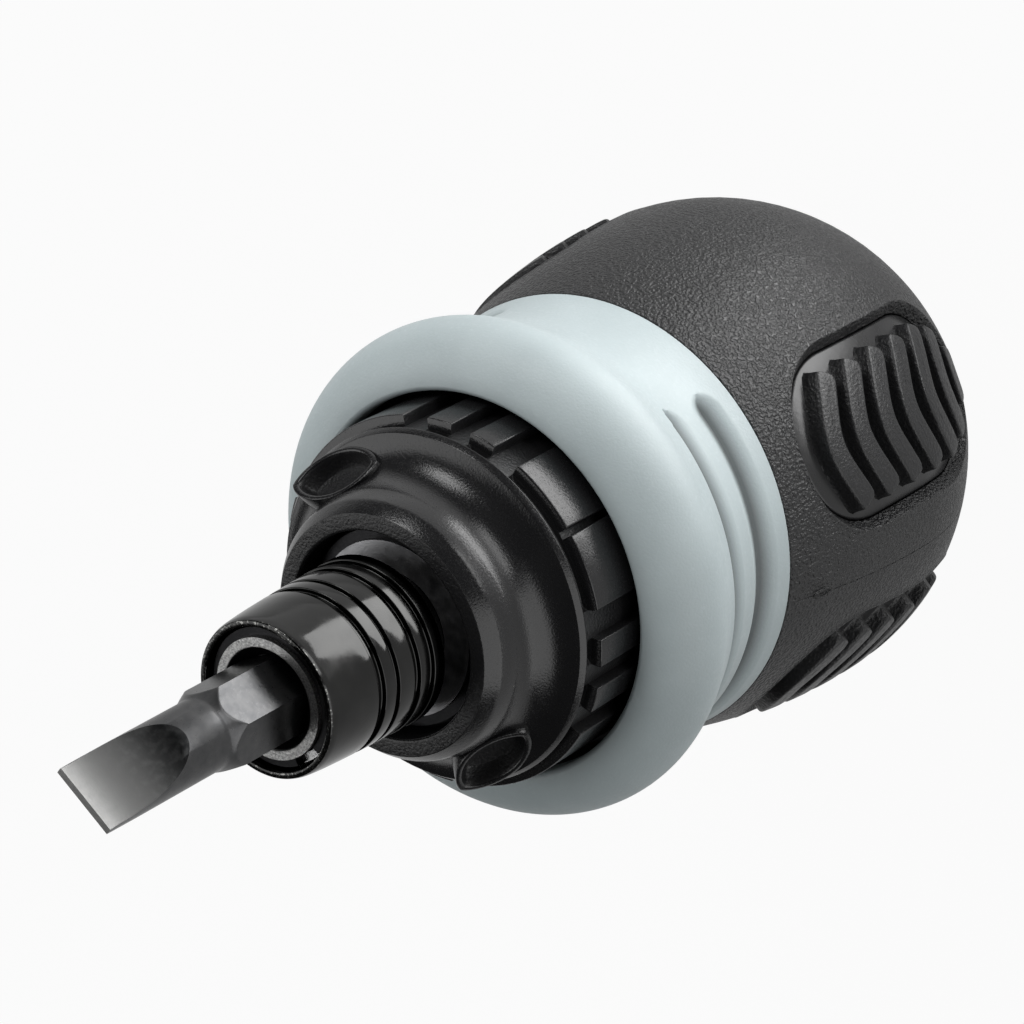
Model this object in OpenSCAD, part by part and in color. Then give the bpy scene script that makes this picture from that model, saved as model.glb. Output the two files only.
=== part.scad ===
// Stubby ratcheting screwdriver with a quick-release bit chuck.
// It stands on its butt with the blade up: Z is the tool's axis, the butt face is z = 0,
// and the parting plane of the moulded handle is the XZ plane. Lengths are in millimetres.

/* [Rear grip] */
// Radius of the ball at the rear of the grip
ball_r = 22.4; // [22:0.1:25]
// Height of the ball's centre above the butt face
ball_z = 20; // [17:0.5:20.5]
// Height of the seam between the rear grip and the front grip
seam_z = 38.4; // [36:0.1:39]
// Thickness of the rear grip over the core
grip_wall = 3.2; // [2.8:0.1:4]
// Radius of the core's disc that shows in the butt
butt_disc_r = 7.5; // [5:0.5:7.5]

/* [Grip pads] */
// Angle from the parting plane to the middle of a pad
pad_turn = 33; // [30:0.5:38]
// Width of a pad round the grip
pad_w = 14.8; // [14.6:0.2:16]
// Height of a pad's rear edge
pad_rear_z = 9.5; // [8.5:0.1:10]
// Height of a pad's front edge
pad_front_z = 34.3; // [33.8:0.1:35]
// Corner radius of a pad
pad_corner = 7.2; // [4:0.4:7.2]
// Depth of a pad's face below the grip around it
pad_sink = 1.1; // [0.8:0.1:1.4]
// Thickness of a pad's sheet
pad_t = 1.0; // [0.6:0.1:1.2]
// Number of bent ribs on a pad
rib_n = 7; // [4:1:7]
// Distance from rib to rib
rib_pitch = 3.45; // [3:0.05:3.5]
// Width of a rib
rib_w = 2.0; // [1.6:0.1:2.2]
// Height of a rib's top above the grip around the pad
rib_proud = 0.3; // [0.1:0.1:0.8]
// Distance across a rib from end to end
rib_span = 11.2; // [9:0.2:11.6]
// Radius of a rib's bend
rib_round = 7.7; // [7.5:0.1:12]
// Distance from the pad's front edge to the first knee
rib_lead = 2.8; // [2.6:0.1:3]
// Margin of the pad left free round its ribs
rib_margin = 0.9; // [0.6:0.1:1.2]

/* [Front grip] */
// Radius over the bead at the mouth
bead_r = 21.6; // [21:0.1:23]
// Radius of the bead's own round
bead_round = 4.4; // [3.8:0.1:4.6]
// Height of the bead's widest circle
bead_z = 51.5; // [51:0.1:52.5]
// Radius of the waist behind the bead
waist_r = 19.3; // [19.1:0.1:19.8]
// Height of the waist
waist_z = 42.3; // [41.5:0.1:43]
// Radius of the mouth
mouth_r = 16.6; // [16.4:0.1:17]
// Depth of the pocket that the mouth opens into
pocket_depth = 6.85; // [6.2:0.05:8]
// Thickness of the lip over the core's barrel
lip_t = 1.8; // [1.2:0.1:2.4]
// Wall of the core's barrel under the front grip
barrel_wall = 1.4; // [1.2:0.1:1.5]
// Height of the finger groove nearer the bead
groove_front_z = 46.2; // [45:0.1:46.5]
// Height of the finger groove nearer the seam
groove_rear_z = 41.6; // [41:0.1:42.5]
// Depth of a finger groove
groove_depth = 0.7; // [0.2:0.1:0.8]
// Radius of a finger groove's round
groove_round = 1.2; // [1:0.05:1.4]
// Arc that a finger groove spans on each side of the handle
groove_arc = 118; // [60:2:140]

/* [Selector] */
// Radius of the hole in the nose
nose_hole_r = 8.84; // [8.7:0.02:9.2]
// Radius of the nose behind its bevel
nose_r = 11.5; // [11.2:0.1:12]
// Bevel at the nose's front edge
nose_bevel = 1.2; // [0.6:0.1:1.4]
// Depth of the hole in the nose
nose_lip = 3.1; // [2.6:0.1:4]
// Length of the straight nose in front of the flare
nose_len = 2.4; // [2:0.1:3]
// Radius of the hollow flare from the nose to the rim
flare_round = 4.1; // [3.8:0.1:4.4]
// Radius of the rim that ends the flare
rim_r = 14.9; // [14.6:0.1:15.2]
// Height of the rim
rim_h = 0.6; // [0.4:0.1:1]
// Width of the slot between the rim and the lugs
rim_slot = 0.8; // [0.5:0.1:1]
// Depth of that slot
rim_slot_depth = 0.4; // [0.2:0.1:0.6]
// Radius of the drum that carries the lugs
drum_r = 15; // [14.9:0.1:15.3]
// Height of the lugs above the drum
lug_h = 1.0; // [0.6:0.1:1.1]
// Arc of one lug
lug_arc = 8.6; // [6:0.2:10]
// Angle from the middle of a pair to a lug's middle
lug_turn = 7.8; // [6:0.1:9]
// Arc of the raised pad between two pairs of lugs
land_arc = 48; // [40:1:52]
// Width of the notch in the middle of a raised pad
land_notch = 0.6; // [0.3:0.1:1]
// Length of an ear round the nose
ear_len = 8.6; // [7:0.2:9]
// Width of an ear up the flare
ear_w = 5.0; // [4.4:0.1:5.2]
// Height of an ear's middle above the line from the rim to the nose
ear_h = 0.1; // [-0.2:0.1:0.4]
// Angle that an ear's far side stands up
ear_rise = 15; // [8:1:18]
// Rim left round an ear's pocket
ear_rim = 0.5; // [0.3:0.1:0.8]
// Depth of an ear's pocket
ear_pocket = 1.7; // [1:0.1:2]
// Swing of the selector each way from its locked middle
selector_swing = 15; // [12:0.5:16]

/* [Ratchet] */
// Thickness of the housing's base
base_h = 5.0; // [4.6:0.1:5.6]
// Radius of the housing's base
base_r = 13.4; // [13.2:0.1:13.5]
// Radius of the housing's pillars and the front plate
plate_r = 11.6; // [11.4:0.05:11.65]
// Thickness of the front plate
plate_h = 2.0; // [1.6:0.1:2.4]
// Radius of the hub's seat under the selector
hub_seat_r = 8.2; // [7.9:0.1:8.4]
// Height of the hub's seat above the front plate
hub_seat_h = 2.5; // [2:0.1:3]
// Radius of the hub that the selector turns on
hub_r = 7.5; // [7.2:0.1:7.6]
// Thickness of the selector's inner flange
flange_t = 1.6; // [1.2:0.1:2]
// Number of teeth on the ratchet gear
gear_teeth = 24; // [20:4:28]
// Radius over the gear's teeth
gear_tip_r = 8.2; // [8:0.05:8.25]
// Depth of the gear's teeth
tooth_depth = 1.25; // [1.2:0.05:1.35]
// Thickness of the gear and the pawls
gear_h = 4.2; // [3.8:0.1:4.6]
// Distance from the tool's axis to a pawl's pivot
pawl_pivot_r = 10.35; // [10.3:0.05:10.45]
// Swing of a pawl each way from half engaged
pawl_swing = 8; // [7:0.5:8.5]
// Radius of a pawl's pin
pin_r = 0.9; // [0.7:0.05:1]
// Radius of a housing screw's shank
screw_r = 0.8; // [0.6:0.05:0.9]
// Radius of a housing screw's head
screw_head_r = 1.25; // [1.1:0.05:1.3]
// Length of a housing screw under its head
screw_len = 14; // [12:0.5:16]
// Thickness of the pawl springs and the detent spring
leaf_t = 0.3; // [0.2:0.05:0.35]

/* [Chuck] */
// Radius of the spindle's tube
spindle_r = 5.05; // [5:0.05:5.1]
// Radius of the spindle's tail
journal_r = 4.0; // [3.8:0.1:4.2]
// Wall of the bush round the spindle's tail
bush_wall = 1.2; // [0.8:0.1:1.5]
// Gap between the nose's face and the sleeve
chuck_gap = 0.9; // [0.6:0.1:2]
// Length of the sleeve
sleeve_len = 13.35; // [13:0.05:14]
// Radius of the sleeve at its front rim
sleeve_front_r = 6.5; // [6.45:0.05:6.8]
// Radius of the sleeve at its rear
sleeve_r = 7.25; // [7.1:0.05:7.6]
// Radius of the sleeve's spring chamber
chamber_r = 6.0; // [5.95:0.01:6.05]
// Depth of the sleeve's grip grooves
sleeve_groove = 0.4; // [0.2:0.05:0.5]
// Travel of the sleeve towards the blade
sleeve_travel = 2.5; // [2:0.1:2.5]
// Slope of the ramp that lifts the lock ball
ramp_slope = 0.2; // [0.18:0.01:0.22]
// Radius of the lock ball
lock_ball_r = 1.0; // [0.9:0.05:1.1]
// Diameter of the chuck spring's wire
wire_d = 0.65; // [0.5:0.05:0.7]
// Turns of the chuck spring
spring_turns = 2.5; // [2:0.5:2.5]

/* [Bit] */
// Distance across the flats of the hex shank
bit_af = 6.35; // [6.3:0.01:6.4]
// Overall length of the bit
bit_len = 32; // [28:0.5:50]
// Depth of the spindle's hex socket
socket_depth = 11.3; // [11:0.1:12]
// Radius of the round neck and half the blade's width
neck_r = 2.95; // [2.4:0.05:3]
// Length of the neck and the blade in front of the hex
neck_len = 13; // [12:0.1:16]
// Length of the ground faces
grind_len = 9.2; // [7:0.1:11]
// Thickness of the blade's tip
tip_t = 0.6; // [0.6:0.1:1.4]

/* [Fits] */
// Radial clearance of a running fit
run_gap = 0.05; // [0.03:0.01:0.08]
// Clearance between parts that pass each other
side_gap = 0.15; // [0.1:0.01:0.2]
// Clearance of the bit in its socket
socket_gap = 0.06; // [0.04:0.01:0.08]
// Gap round a grip pad in its panel
pad_gap = 0.1; // [0.05:0.05:0.2]

/* [Hidden] */
$fn = 96;
eps = 0.01;

// Front grip: the waist arc meets the bead's round smoothly
waist_rise = bead_z - waist_z;
bead_mid_r = bead_r - bead_round;
waist_round = (waist_rise ^ 2 + (waist_r - bead_mid_r) ^ 2 - bead_round ^ 2)
  / (2 * (bead_round - waist_r + bead_mid_r));
bead_join_z = bead_z - bead_round * waist_rise / (waist_round + bead_round);
function waist_at(z) = waist_r + waist_round - sqrt(waist_round ^ 2 - (z - waist_z) ^ 2);
mouth_dip = 0.041;
mouth_z = bead_z + bead_round - mouth_dip;
mouth_bevel = 0.4;
barrel_r = mouth_r + barrel_wall;
barrel_z = mouth_z - lip_t;

// Rear grip: the shoulder arc leaves the ball at its widest and ends at the seam
seam_r = waist_at(seam_z);
shoulder_round = ((seam_z - ball_z) ^ 2 + (ball_r - seam_r) ^ 2) / (2 * (ball_r - seam_r));
pad_turns = [pad_turn, 180 - pad_turn, 180 + pad_turn, 360 - pad_turn];

// Ratchet: heights stack up from the floor of the core's pocket
floor_z = mouth_z - pocket_depth;
base_top = floor_z + base_h;
bay_h = gear_h + 2 * side_gap;
gear_z = base_top + side_gap;
gear_front_z = gear_z + gear_h;
plate_z = base_top + bay_h;
plate_top = plate_z + plate_h;
hub_seat_z = plate_top + hub_seat_h;
flange_z = hub_seat_z + side_gap;
flange_top = flange_z + flange_t;
clip_t = 0.9;
clip_z = flange_top + side_gap;
clip_depth = 0.5;
clip_out_r = hub_r + 0.9;
clip_turn = 250;
clip_gap = 24;
hub_top = clip_z + clip_t + 0.3;

// Gear and pawls: the toes stand in tooth gaps, and the pawls mirror each other about the YZ plane
function on_circle(r, a) = [r * cos(a), r * sin(a)];
function turned(p, c, a) = c + [[cos(a), -sin(a)], [sin(a), cos(a)]] * (p - c);
tooth_pitch = 360 / gear_teeth;
gear_root_r = gear_tip_r - tooth_depth;
gear_seat_r = 4.6;
gear_seat_flat = 3.9;
toe_turn = tooth_pitch / 2;
toe_r = gear_tip_r - 0.36 * tooth_depth;
toe_tip = 0.18;
toe_flare = 15;
arm_r = gear_tip_r + 1.55;
arm_w = 0.75;
boss_r = pin_r + 0.85;
pivot_turn = -20;
pivot = on_circle(pawl_pivot_r, pivot_turn);
tail_turn = -44;
tail_round = 0.7;
tail_mid_r = plate_r + 0.15;
tail = on_circle(tail_mid_r, tail_turn);
bay_from = -64;
bay_to = 18;
pillar_room = 0.4;

// Selector cam: an off-centre arc whose radius at the tail grows as the pawl swings in
cam_gap = 0.15;
tail_in = turned(tail, pivot, pawl_swing);
tail_out = turned(tail, pivot, -pawl_swing);
tail_drift = (atan2(tail_in[1], tail_in[0]) - atan2(tail_out[1], tail_out[0])) / 2;
tail_lift = (norm(tail_in) - norm(tail_out)) / 2;
cam_offset = tail_lift / ((selector_swing + tail_drift) * PI / 180);
cam_mid_r = tail_mid_r + tail_round + cam_gap;
cam_round = sqrt(cam_mid_r ^ 2 + cam_offset ^ 2);
cam_reach = selector_swing + 3;

// Selector: the drum runs on the housing's base, and the flange on the hub
selector_rear_z = floor_z + 0.6;
nose_z = flange_top + nose_lip;
flare_top_z = nose_z - nose_len;
flare_foot_z = flare_top_z - sqrt(flare_round ^ 2 - (nose_r + flare_round - rim_r) ^ 2);
rim_z = flare_foot_z - rim_h;
lug_front_z = rim_z - rim_slot;
// Angles of the lugs in pairs and of the raised pads between the pairs, from and to
lug_spans = [for (quarter = [0, 90, 180, 270])
  each [for (mid = [quarter - lug_turn, quarter + lug_turn]) [mid - lug_arc / 2, mid + lug_arc / 2],
    [quarter + 45 - land_arc / 2, quarter + 45 + land_arc / 2]]];
cavity_r = base_r + 0.5;
cavity_top = plate_top + 0.3;
throat_r = hub_seat_r + 1;
ear_turns = [135, 315];
ear_mid_r = (nose_r + rim_r) / 2;
ear_mid_z = (flare_top_z + flare_foot_z) / 2;
ear_slope = atan2(rim_r - nose_r, flare_top_z - flare_foot_z);
ear_root = 2.4;

// Detent: a bowed leaf in the base's rim whose bump drops into notches of the drum
detent_turn = 90;
detent_half = 29;
detent_h = 2.6;
detent_z = floor_z + 1.4;
detent_r = base_r - 0.9;
bump_r = 0.65;
bump_mid_r = base_r - 0.35;

// Spindle: tail, washer and clip behind the housing
bush_r = journal_r + run_gap + bush_wall;
tail_room_r = 7.6;
tail_room_h = 4.5;
tail_room_z = floor_z - tail_room_h;
washer_r = 7;
washer_t = 0.6;
washer_z = floor_z - side_gap / 2 - washer_t;
tail_clip_t = 0.7;
tail_clip_z = washer_z - eps - tail_clip_t;
tail_clip_depth = 0.7;
tail_clip_r = 5.8;
tail_clip_turn = 90;
tail_clip_gap = 70;
tail_end_z = tail_clip_z - 1;

// Chuck: heights run from the nose's face to the sleeve's rim, radii from the spindle's tube
sleeve_z = nose_z + chuck_gap;
sleeve_front_z = sleeve_z + sleeve_len;
tube_front_z = sleeve_front_z - 0.25;
socket_z = tube_front_z - socket_depth;
socket_r = (bit_af / 2 + socket_gap) / cos(30);
mouth_cone_r = 4.28;
mouth_cone_h = 1.0;
ring_t = 0.7;
ring_z = tube_front_z - 0.4 - ring_t;
ring_depth = 0.4;
ring_r = chamber_r - 0.25;
ring_turn = -42;
ring_gap = 26;
cup_t = 0.5;
cup_z = ring_z - eps - cup_t;
ball_seat_z = socket_z + 2.8;
ball_seat_r = bit_af / 2 + run_gap + lock_ball_r;
land_r = spindle_r + 2 * run_gap;
land_len = 1.0;
ramp_z = ball_seat_z + ((lock_ball_r + run_gap) * sqrt(1 + ramp_slope ^ 2)
  + ball_seat_r - land_r) / ramp_slope;
ramp_len = 3.6;
shoulder_z = ramp_z + land_len;
spring_z = shoulder_z + eps;
spring_h = cup_z - eps - spring_z;
coil_r = (spindle_r + chamber_r) / 2;
coil_steps = 24;
wire_sides = 6;
// Grip grooves of the sleeve: distance from the front rim, and width
sleeve_grooves = [[5.35, 0.8], [7.4, 0.45], [9.65, 0.7], [11.45, 0.6]];

// Bit: it stands on the socket's floor
bit_z = socket_z + side_gap / 2;
bit_tip_z = bit_z + bit_len;
hex_front_z = bit_tip_z - neck_len;
hex_turn = 30;
hex_corner_r = bit_af / 2 / cos(30);
hex_bevel = 0.8;
hex_taper = 1.6;
blade_turn = 150;
grind_round = (grind_len ^ 2 + (neck_r - tip_t / 2) ^ 2) / (2 * (neck_r - tip_t / 2));

// Screws stand in the pillars
screw_pitch_r = (gear_tip_r + pillar_room + plate_r) / 2;
screw_turns = [50, 130, 270];
screw_head_h = 1.2;
screw_z = plate_top - screw_head_h - screw_len;

grip_black = [0.09, 0.09, 0.095];
pad_black = [0.07, 0.07, 0.075];
core_black = [0.12, 0.12, 0.125];
ring_grey = [0.68, 0.74, 0.76];
nose_black = [0.16, 0.16, 0.165];
sleeve_black = [0.05, 0.05, 0.055];
bit_grey = [0.62, 0.62, 0.62];
zinc = [0.66, 0.66, 0.68];
steel = [0.78, 0.78, 0.8];
gear_steel = [0.45, 0.45, 0.48];
bronze = [0.72, 0.52, 0.28];

// Sector from angle a to angle b, wide enough to cut any part here
module sector(a, b) {
  reach = 60;
  polygon([[0, 0], for (k = [0:4]) on_circle(reach, a + (b - a) * k / 4)]);
}

module tube(r_in, r_out, z, h) {
  translate([0, 0, z]) {
    difference() {
      cylinder(r = r_out, h = h);
      translate([0, 0, -eps]) cylinder(r = r_in, h = h + 2 * eps);
    }
  }
}

// Flat open ring of spring steel with its gap at angle turn
module open_ring(r_in, r_out, z, t, turn, gap) {
  translate([0, 0, z]) {
    linear_extrude(t) {
      difference() {
        circle(r = r_out);
        circle(r = r_in);
        sector(turn - gap / 2, turn + gap / 2);
      }
    }
  }
}

// Half section of the rear grip's outside, moved inwards by inset
module grip_section(inset) {
  reach = 2 * ball_r;
  intersection() {
    translate([0, ball_z]) circle(r = ball_r - inset);
    square([reach, ball_z]);
  }
  intersection() {
    translate([ball_r - shoulder_round, ball_z]) circle(r = shoulder_round - inset);
    translate([0, ball_z]) square([reach, seam_z - ball_z]);
  }
}

// Half section of the core inside the rear grip
module core_section() {
  intersection() {
    grip_section(grip_wall);
    translate([0, grip_wall]) square([ball_r, seam_z - grip_wall]);
  }
}

// Stands a flat shape against the grip, facing outwards at pad i
module against_grip(i) {
  start_r = ball_r / 3;
  rotate([0, 0, pad_turns[i]]) {
    translate([start_r, 0, 0]) {
      rotate([90, 0, 90]) linear_extrude(ball_r) children();
    }
  }
}

module pad_shape(grow) {
  half = pad_w / 2 + grow;
  low = pad_rear_z - grow;
  high = pad_front_z + grow;
  c = pad_corner + grow;
  translate([-half, low + c]) square([2 * half, high - low - 2 * c]);
  translate([c - half, low]) square([2 * (half - c), high - low]);
  for (x = [c - half, half - c], z = [low + c, high - c]) {
    translate([x, z]) circle(r = c);
  }
}

// Bent rib with square ends, its knee towards the blade
module rib_shape(knee_z) {
  half_turn = asin(rib_span / 2 / rib_round);
  translate([0, knee_z - rib_round]) {
    intersection() {
      difference() {
        circle(r = rib_round + rib_w / 2);
        circle(r = rib_round - rib_w / 2);
      }
      sector(90 - half_turn, 90 + half_turn);
    }
  }
}

// Layer of the grip between two depths under its surface, cut to a shape at pad i
module grip_layer(i, top, bottom) {
  difference() {
    intersection() {
      against_grip(i) children();
      rotate_extrude() grip_section(top);
    }
    rotate_extrude() grip_section(bottom);
  }
}

module handle_core() {
  color(core_black) {
    difference() {
      rotate_extrude() {
        core_section();
        square([butt_disc_r, grip_wall]);
        translate([0, seam_z]) square([barrel_r, barrel_z - seam_z]);
      }
      translate([0, 0, floor_z]) cylinder(r = mouth_r, h = pocket_depth);
      translate([0, 0, tail_room_z]) cylinder(r = tail_room_r, h = floor_z - tail_room_z + eps);
      housing_holes(screw_r, screw_z, floor_z + eps);
    }
  }
}

module rear_grip() {
  color(grip_black) {
    difference() {
      rotate_extrude() {
        difference() {
          grip_section(0);
          core_section();
          square([butt_disc_r, grip_wall]);
        }
      }
      for (i = [0:3]) {
        grip_layer(i, -rib_proud, pad_sink + pad_t) pad_shape(0);
      }
    }
  }
}

module grip_pad(i) {
  color(pad_black) {
    grip_layer(i, pad_sink, pad_sink + pad_t) pad_shape(-pad_gap);
    grip_layer(i, -rib_proud, pad_sink + pad_t / 2) {
      intersection() {
        pad_shape(-rib_margin);
        for (k = [0:rib_n - 1]) {
          rib_shape(pad_front_z - rib_lead - k * rib_pitch);
        }
      }
    }
  }
}

// Finger groove at height z on both sides of the parting plane, with round ends
module finger_groove(z) {
  mid_r = waist_at(z) + groove_round - groove_depth;
  for (side = [0, 180]) {
    rotate([0, 0, side - groove_arc / 2]) {
      rotate_extrude(angle = groove_arc) translate([mid_r, z]) circle(r = groove_round);
      translate([mid_r, 0, z]) sphere(r = groove_round);
      rotate([0, 0, groove_arc]) translate([mid_r, 0, z]) sphere(r = groove_round);
    }
  }
}

module front_grip() {
  color(ring_grey) {
    difference() {
      rotate_extrude() {
        difference() {
          union() {
            translate([bead_mid_r, bead_z]) circle(r = bead_round);
            translate([mouth_r, bead_z]) square([max(bead_mid_r - mouth_r, eps), mouth_z - bead_z]);
            difference() {
              translate([mouth_r, seam_z]) square([bead_r - mouth_r, bead_join_z - seam_z]);
              translate([waist_r + waist_round, waist_z]) circle(r = waist_round);
            }
          }
          square([mouth_r, 2 * mouth_z]);
          square([barrel_r, barrel_z]);
          polygon([[mouth_r - eps, mouth_z - mouth_bevel], [mouth_r - eps, mouth_z + 1],
            [mouth_r + mouth_bevel + 1, mouth_z + 1]]);
        }
      }
      finger_groove(groove_front_z);
      finger_groove(groove_rear_z);
    }
  }
}

// Holes for the housing screws from height z up to height top
module housing_holes(r, z, top) {
  for (a = screw_turns) {
    rotate([0, 0, a]) translate([screw_pitch_r, 0, z]) cylinder(r = r, h = top - z);
  }
}

// Holes or pins at both pawls' pivots from height z up to height top
module at_pivots(r, z, top) {
  for (side = [0, 1]) {
    mirror([side, 0, 0]) translate([pivot[0], pivot[1], z]) cylinder(r = r, h = top - z);
  }
}

// Straight leaf from a slot in the lower pillar to the inside of the pawl's tail
module pawl_leaf(grow) {
  foot = on_circle(plate_r - 1.3, bay_from - 3);
  end = on_circle(tail_mid_r - tail_round - leaf_t / 2 - side_gap, tail_turn);
  run = end - foot;
  translate([foot[0], foot[1], gear_z + side_gap - grow]) {
    rotate([0, 0, atan2(run[1], run[0])]) {
      translate([-grow, -leaf_t / 2 - grow, 0]) {
        cube([norm(run), leaf_t + 2 * grow, gear_h - 2 * side_gap + 2 * grow]);
      }
    }
  }
}

module ratchet_housing() {
  fit = 0.02;
  color(zinc) {
    difference() {
      union() {
        translate([0, 0, floor_z]) cylinder(r = base_r, h = base_h);
        translate([0, 0, base_top]) {
          linear_extrude(bay_h) {
            difference() {
              circle(r = plate_r);
              circle(r = gear_tip_r + pillar_room);
              sector(bay_from, bay_to);
              mirror([1, 0]) sector(bay_from, bay_to);
            }
          }
        }
      }
      translate([0, 0, floor_z - eps]) cylinder(r = bush_r, h = base_h + 2 * eps);
      housing_holes(screw_r + run_gap, floor_z - eps, plate_z + eps);
      at_pivots(pin_r, base_top - 3, base_top + eps);
      pawl_leaf(fit);
      mirror([1, 0, 0]) pawl_leaf(fit);
      translate([0, 0, detent_z]) {
        linear_extrude(detent_h) {
          difference() {
            intersection() {
              circle(r = base_r + 1);
              sector(detent_turn - detent_half, detent_turn + detent_half);
            }
            circle(r = detent_r - leaf_t - 0.6);
          }
        }
      }
    }
  }
}

module front_plate() {
  color(zinc) {
    difference() {
      union() {
        translate([0, 0, plate_z]) cylinder(r = plate_r, h = plate_h);
        translate([0, 0, plate_top - eps]) cylinder(r = hub_seat_r, h = hub_seat_h + eps);
        translate([0, 0, hub_seat_z - eps]) cylinder(r = hub_r, h = hub_top - hub_seat_z + eps);
      }
      translate([0, 0, plate_z - eps]) {
        cylinder(r = spindle_r + run_gap, h = hub_top - plate_z + 2 * eps);
      }
      tube(hub_r - clip_depth, hub_r + 1, clip_z, clip_t);
      at_pivots(pin_r, plate_z - eps, plate_top + eps);
      housing_holes(screw_r + run_gap, plate_z - eps, plate_top + eps);
      housing_holes(screw_head_r + run_gap, plate_top - screw_head_h, plate_top + eps);
    }
  }
}

module housing_screws() {
  slot_w = 0.5;
  slot_depth = 0.6;
  color(steel) {
    difference() {
      union() {
        housing_holes(screw_r, screw_z, plate_top - screw_head_h + eps);
        housing_holes(screw_head_r, plate_top - screw_head_h, plate_top);
      }
      for (a = screw_turns, quarter = [0, 90]) {
        rotate([0, 0, a]) {
          translate([screw_pitch_r, 0, plate_top]) {
            rotate([0, 0, quarter]) cube([1.4 * screw_head_r, slot_w, 2 * slot_depth], center = true);
          }
        }
      }
    }
  }
}

module spindle_bush() {
  color(bronze) tube(journal_r + run_gap, bush_r, floor_z, base_h);
}

module selector_clip() {
  color(steel) open_ring(hub_r - clip_depth, clip_out_r, clip_z, clip_t, clip_turn, clip_gap);
}

module pawl_pins() {
  color(steel) at_pivots(pin_r, base_top - 3, plate_top);
}

module pawl_spring_a() {
  color(steel) pawl_leaf(0);
}

module pawl_spring_b() {
  color(steel) mirror([1, 0, 0]) pawl_leaf(0);
}

// Bowed leaf with a half-round bump in its middle
module detent_spring() {
  end_room = 0.5;
  color(steel) {
    translate([0, 0, detent_z]) {
      linear_extrude(detent_h - side_gap) {
        intersection() {
          difference() {
            circle(r = detent_r);
            circle(r = detent_r - leaf_t);
          }
          sector(detent_turn - detent_half + end_room, detent_turn + detent_half - end_room);
        }
        difference() {
          translate(on_circle(bump_mid_r, detent_turn)) circle(r = bump_r);
          circle(r = detent_r - eps);
        }
      }
    }
  }
}

// Long round of the selector's ears, its length across the slope of the flare
module ear_shape(length, width) {
  straight = length - width;
  square([width, straight], center = true);
  for (side = [-1, 1]) {
    translate([0, side * straight / 2]) circle(r = width / 2);
  }
}

// Places an ear's shape on the flare, its side away from the notches standing up
module on_flare(turn) {
  rotate([0, 0, turn]) {
    translate([ear_mid_r, 0, ear_mid_z]) {
      rotate([0, 90 - ear_slope, 0]) rotate([turn < 180 ? ear_rise : -ear_rise, 0, 0]) children();
    }
  }
}

// Part of a flat ring on the drum, from angle a to angle b
module drum_arc(r_in, r_out, a, b, z, h) {
  translate([0, 0, z]) {
    linear_extrude(h) {
      intersection() {
        difference() {
          circle(r = r_out);
          circle(r = r_in);
        }
        sector(a, b);
      }
    }
  }
}

module selector_section() {
  square([drum_r, rim_z]);
  polygon([[0, rim_z - eps], [rim_r + rim_slot_depth, rim_z - eps], [rim_r, flare_foot_z],
    [0, flare_foot_z]]);
  difference() {
    translate([0, flare_foot_z - eps]) square([rim_r, flare_top_z - flare_foot_z + eps]);
    translate([nose_r + flare_round, flare_top_z]) circle(r = flare_round);
  }
  polygon([[0, flare_top_z - eps], [nose_r, flare_top_z - eps],
    [nose_r - nose_bevel / 3, nose_z - nose_bevel], [nose_r - nose_bevel, nose_z], [0, nose_z]]);
}

// Steps of the selector's inside, from the drum's mouth to the hole in the nose
module selector_inside() {
  square([base_r + run_gap, base_top]);
  translate([0, base_top - eps]) square([cavity_r, cavity_top - base_top + eps]);
  square([throat_r, flange_z]);
  square([hub_r + run_gap, flange_top + eps]);
  translate([0, flange_top]) square([nose_hole_r, nose_lip + 1]);
}

// Ramp on the drum's inside that drives the tail of the first pawl
module cam_lobe() {
  translate([0, 0, base_top]) {
    linear_extrude(bay_h) {
      difference() {
        intersection() {
          circle(r = cavity_r + 0.3);
          sector(tail_turn - cam_reach, tail_turn + cam_reach);
        }
        translate(on_circle(cam_offset, tail_turn + 90)) circle(r = cam_round);
      }
    }
  }
}

module selector_ring() {
  notch_room = 0.1;
  color(nose_black) {
    difference() {
      union() {
        rotate_extrude() {
          intersection() {
            selector_section();
            translate([0, selector_rear_z]) square([2 * drum_r, nose_z]);
          }
        }
        for (span = lug_spans) {
          drum_arc(drum_r - lug_h, drum_r + lug_h, span[0], span[1], selector_rear_z,
            lug_front_z - selector_rear_z);
        }
        for (turn = ear_turns) {
          on_flare(turn) {
            translate([0, 0, -ear_root]) linear_extrude(ear_root + ear_h) ear_shape(ear_len, ear_w);
          }
        }
      }
      rotate_extrude() selector_inside();
      for (span = lug_spans) {
        drum_arc(drum_r - rim_slot_depth, drum_r + lug_h, span[0], span[1], lug_front_z, rim_slot);
      }
      for (turn = ear_turns) {
        on_flare(turn) {
          translate([0, 0, ear_h - ear_pocket]) {
            linear_extrude(2 * ear_pocket) ear_shape(ear_len - 2 * ear_rim, ear_w - 2 * ear_rim);
          }
        }
      }
      for (turn = [45, 225]) {
        rotate([0, 0, turn]) {
          translate([drum_r + lug_h / 2, -land_notch / 2, selector_rear_z - eps]) {
            cube([lug_h, land_notch, lug_front_z - selector_rear_z + 2 * eps]);
          }
        }
      }
      for (step = [-1, 0, 1]) {
        rotate([0, 0, detent_turn + step * selector_swing]) {
          translate([bump_mid_r, 0, selector_rear_z - eps]) {
            cylinder(r = bump_r + notch_room, h = base_top - selector_rear_z);
          }
        }
      }
    }
    cam_lobe();
    mirror([1, 0, 0]) cam_lobe();
  }
}

// Bar from one point to another, as wide as w1 at the first and w2 at the second
module arm(p1, p2, w1, w2) {
  along = (p2 - p1) / norm(p2 - p1);
  across = [-along[1], along[0]];
  polygon([p1 + w1 * across, p1 - w1 * across, p2 - w2 * across, p2 + w2 * across]);
}

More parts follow.
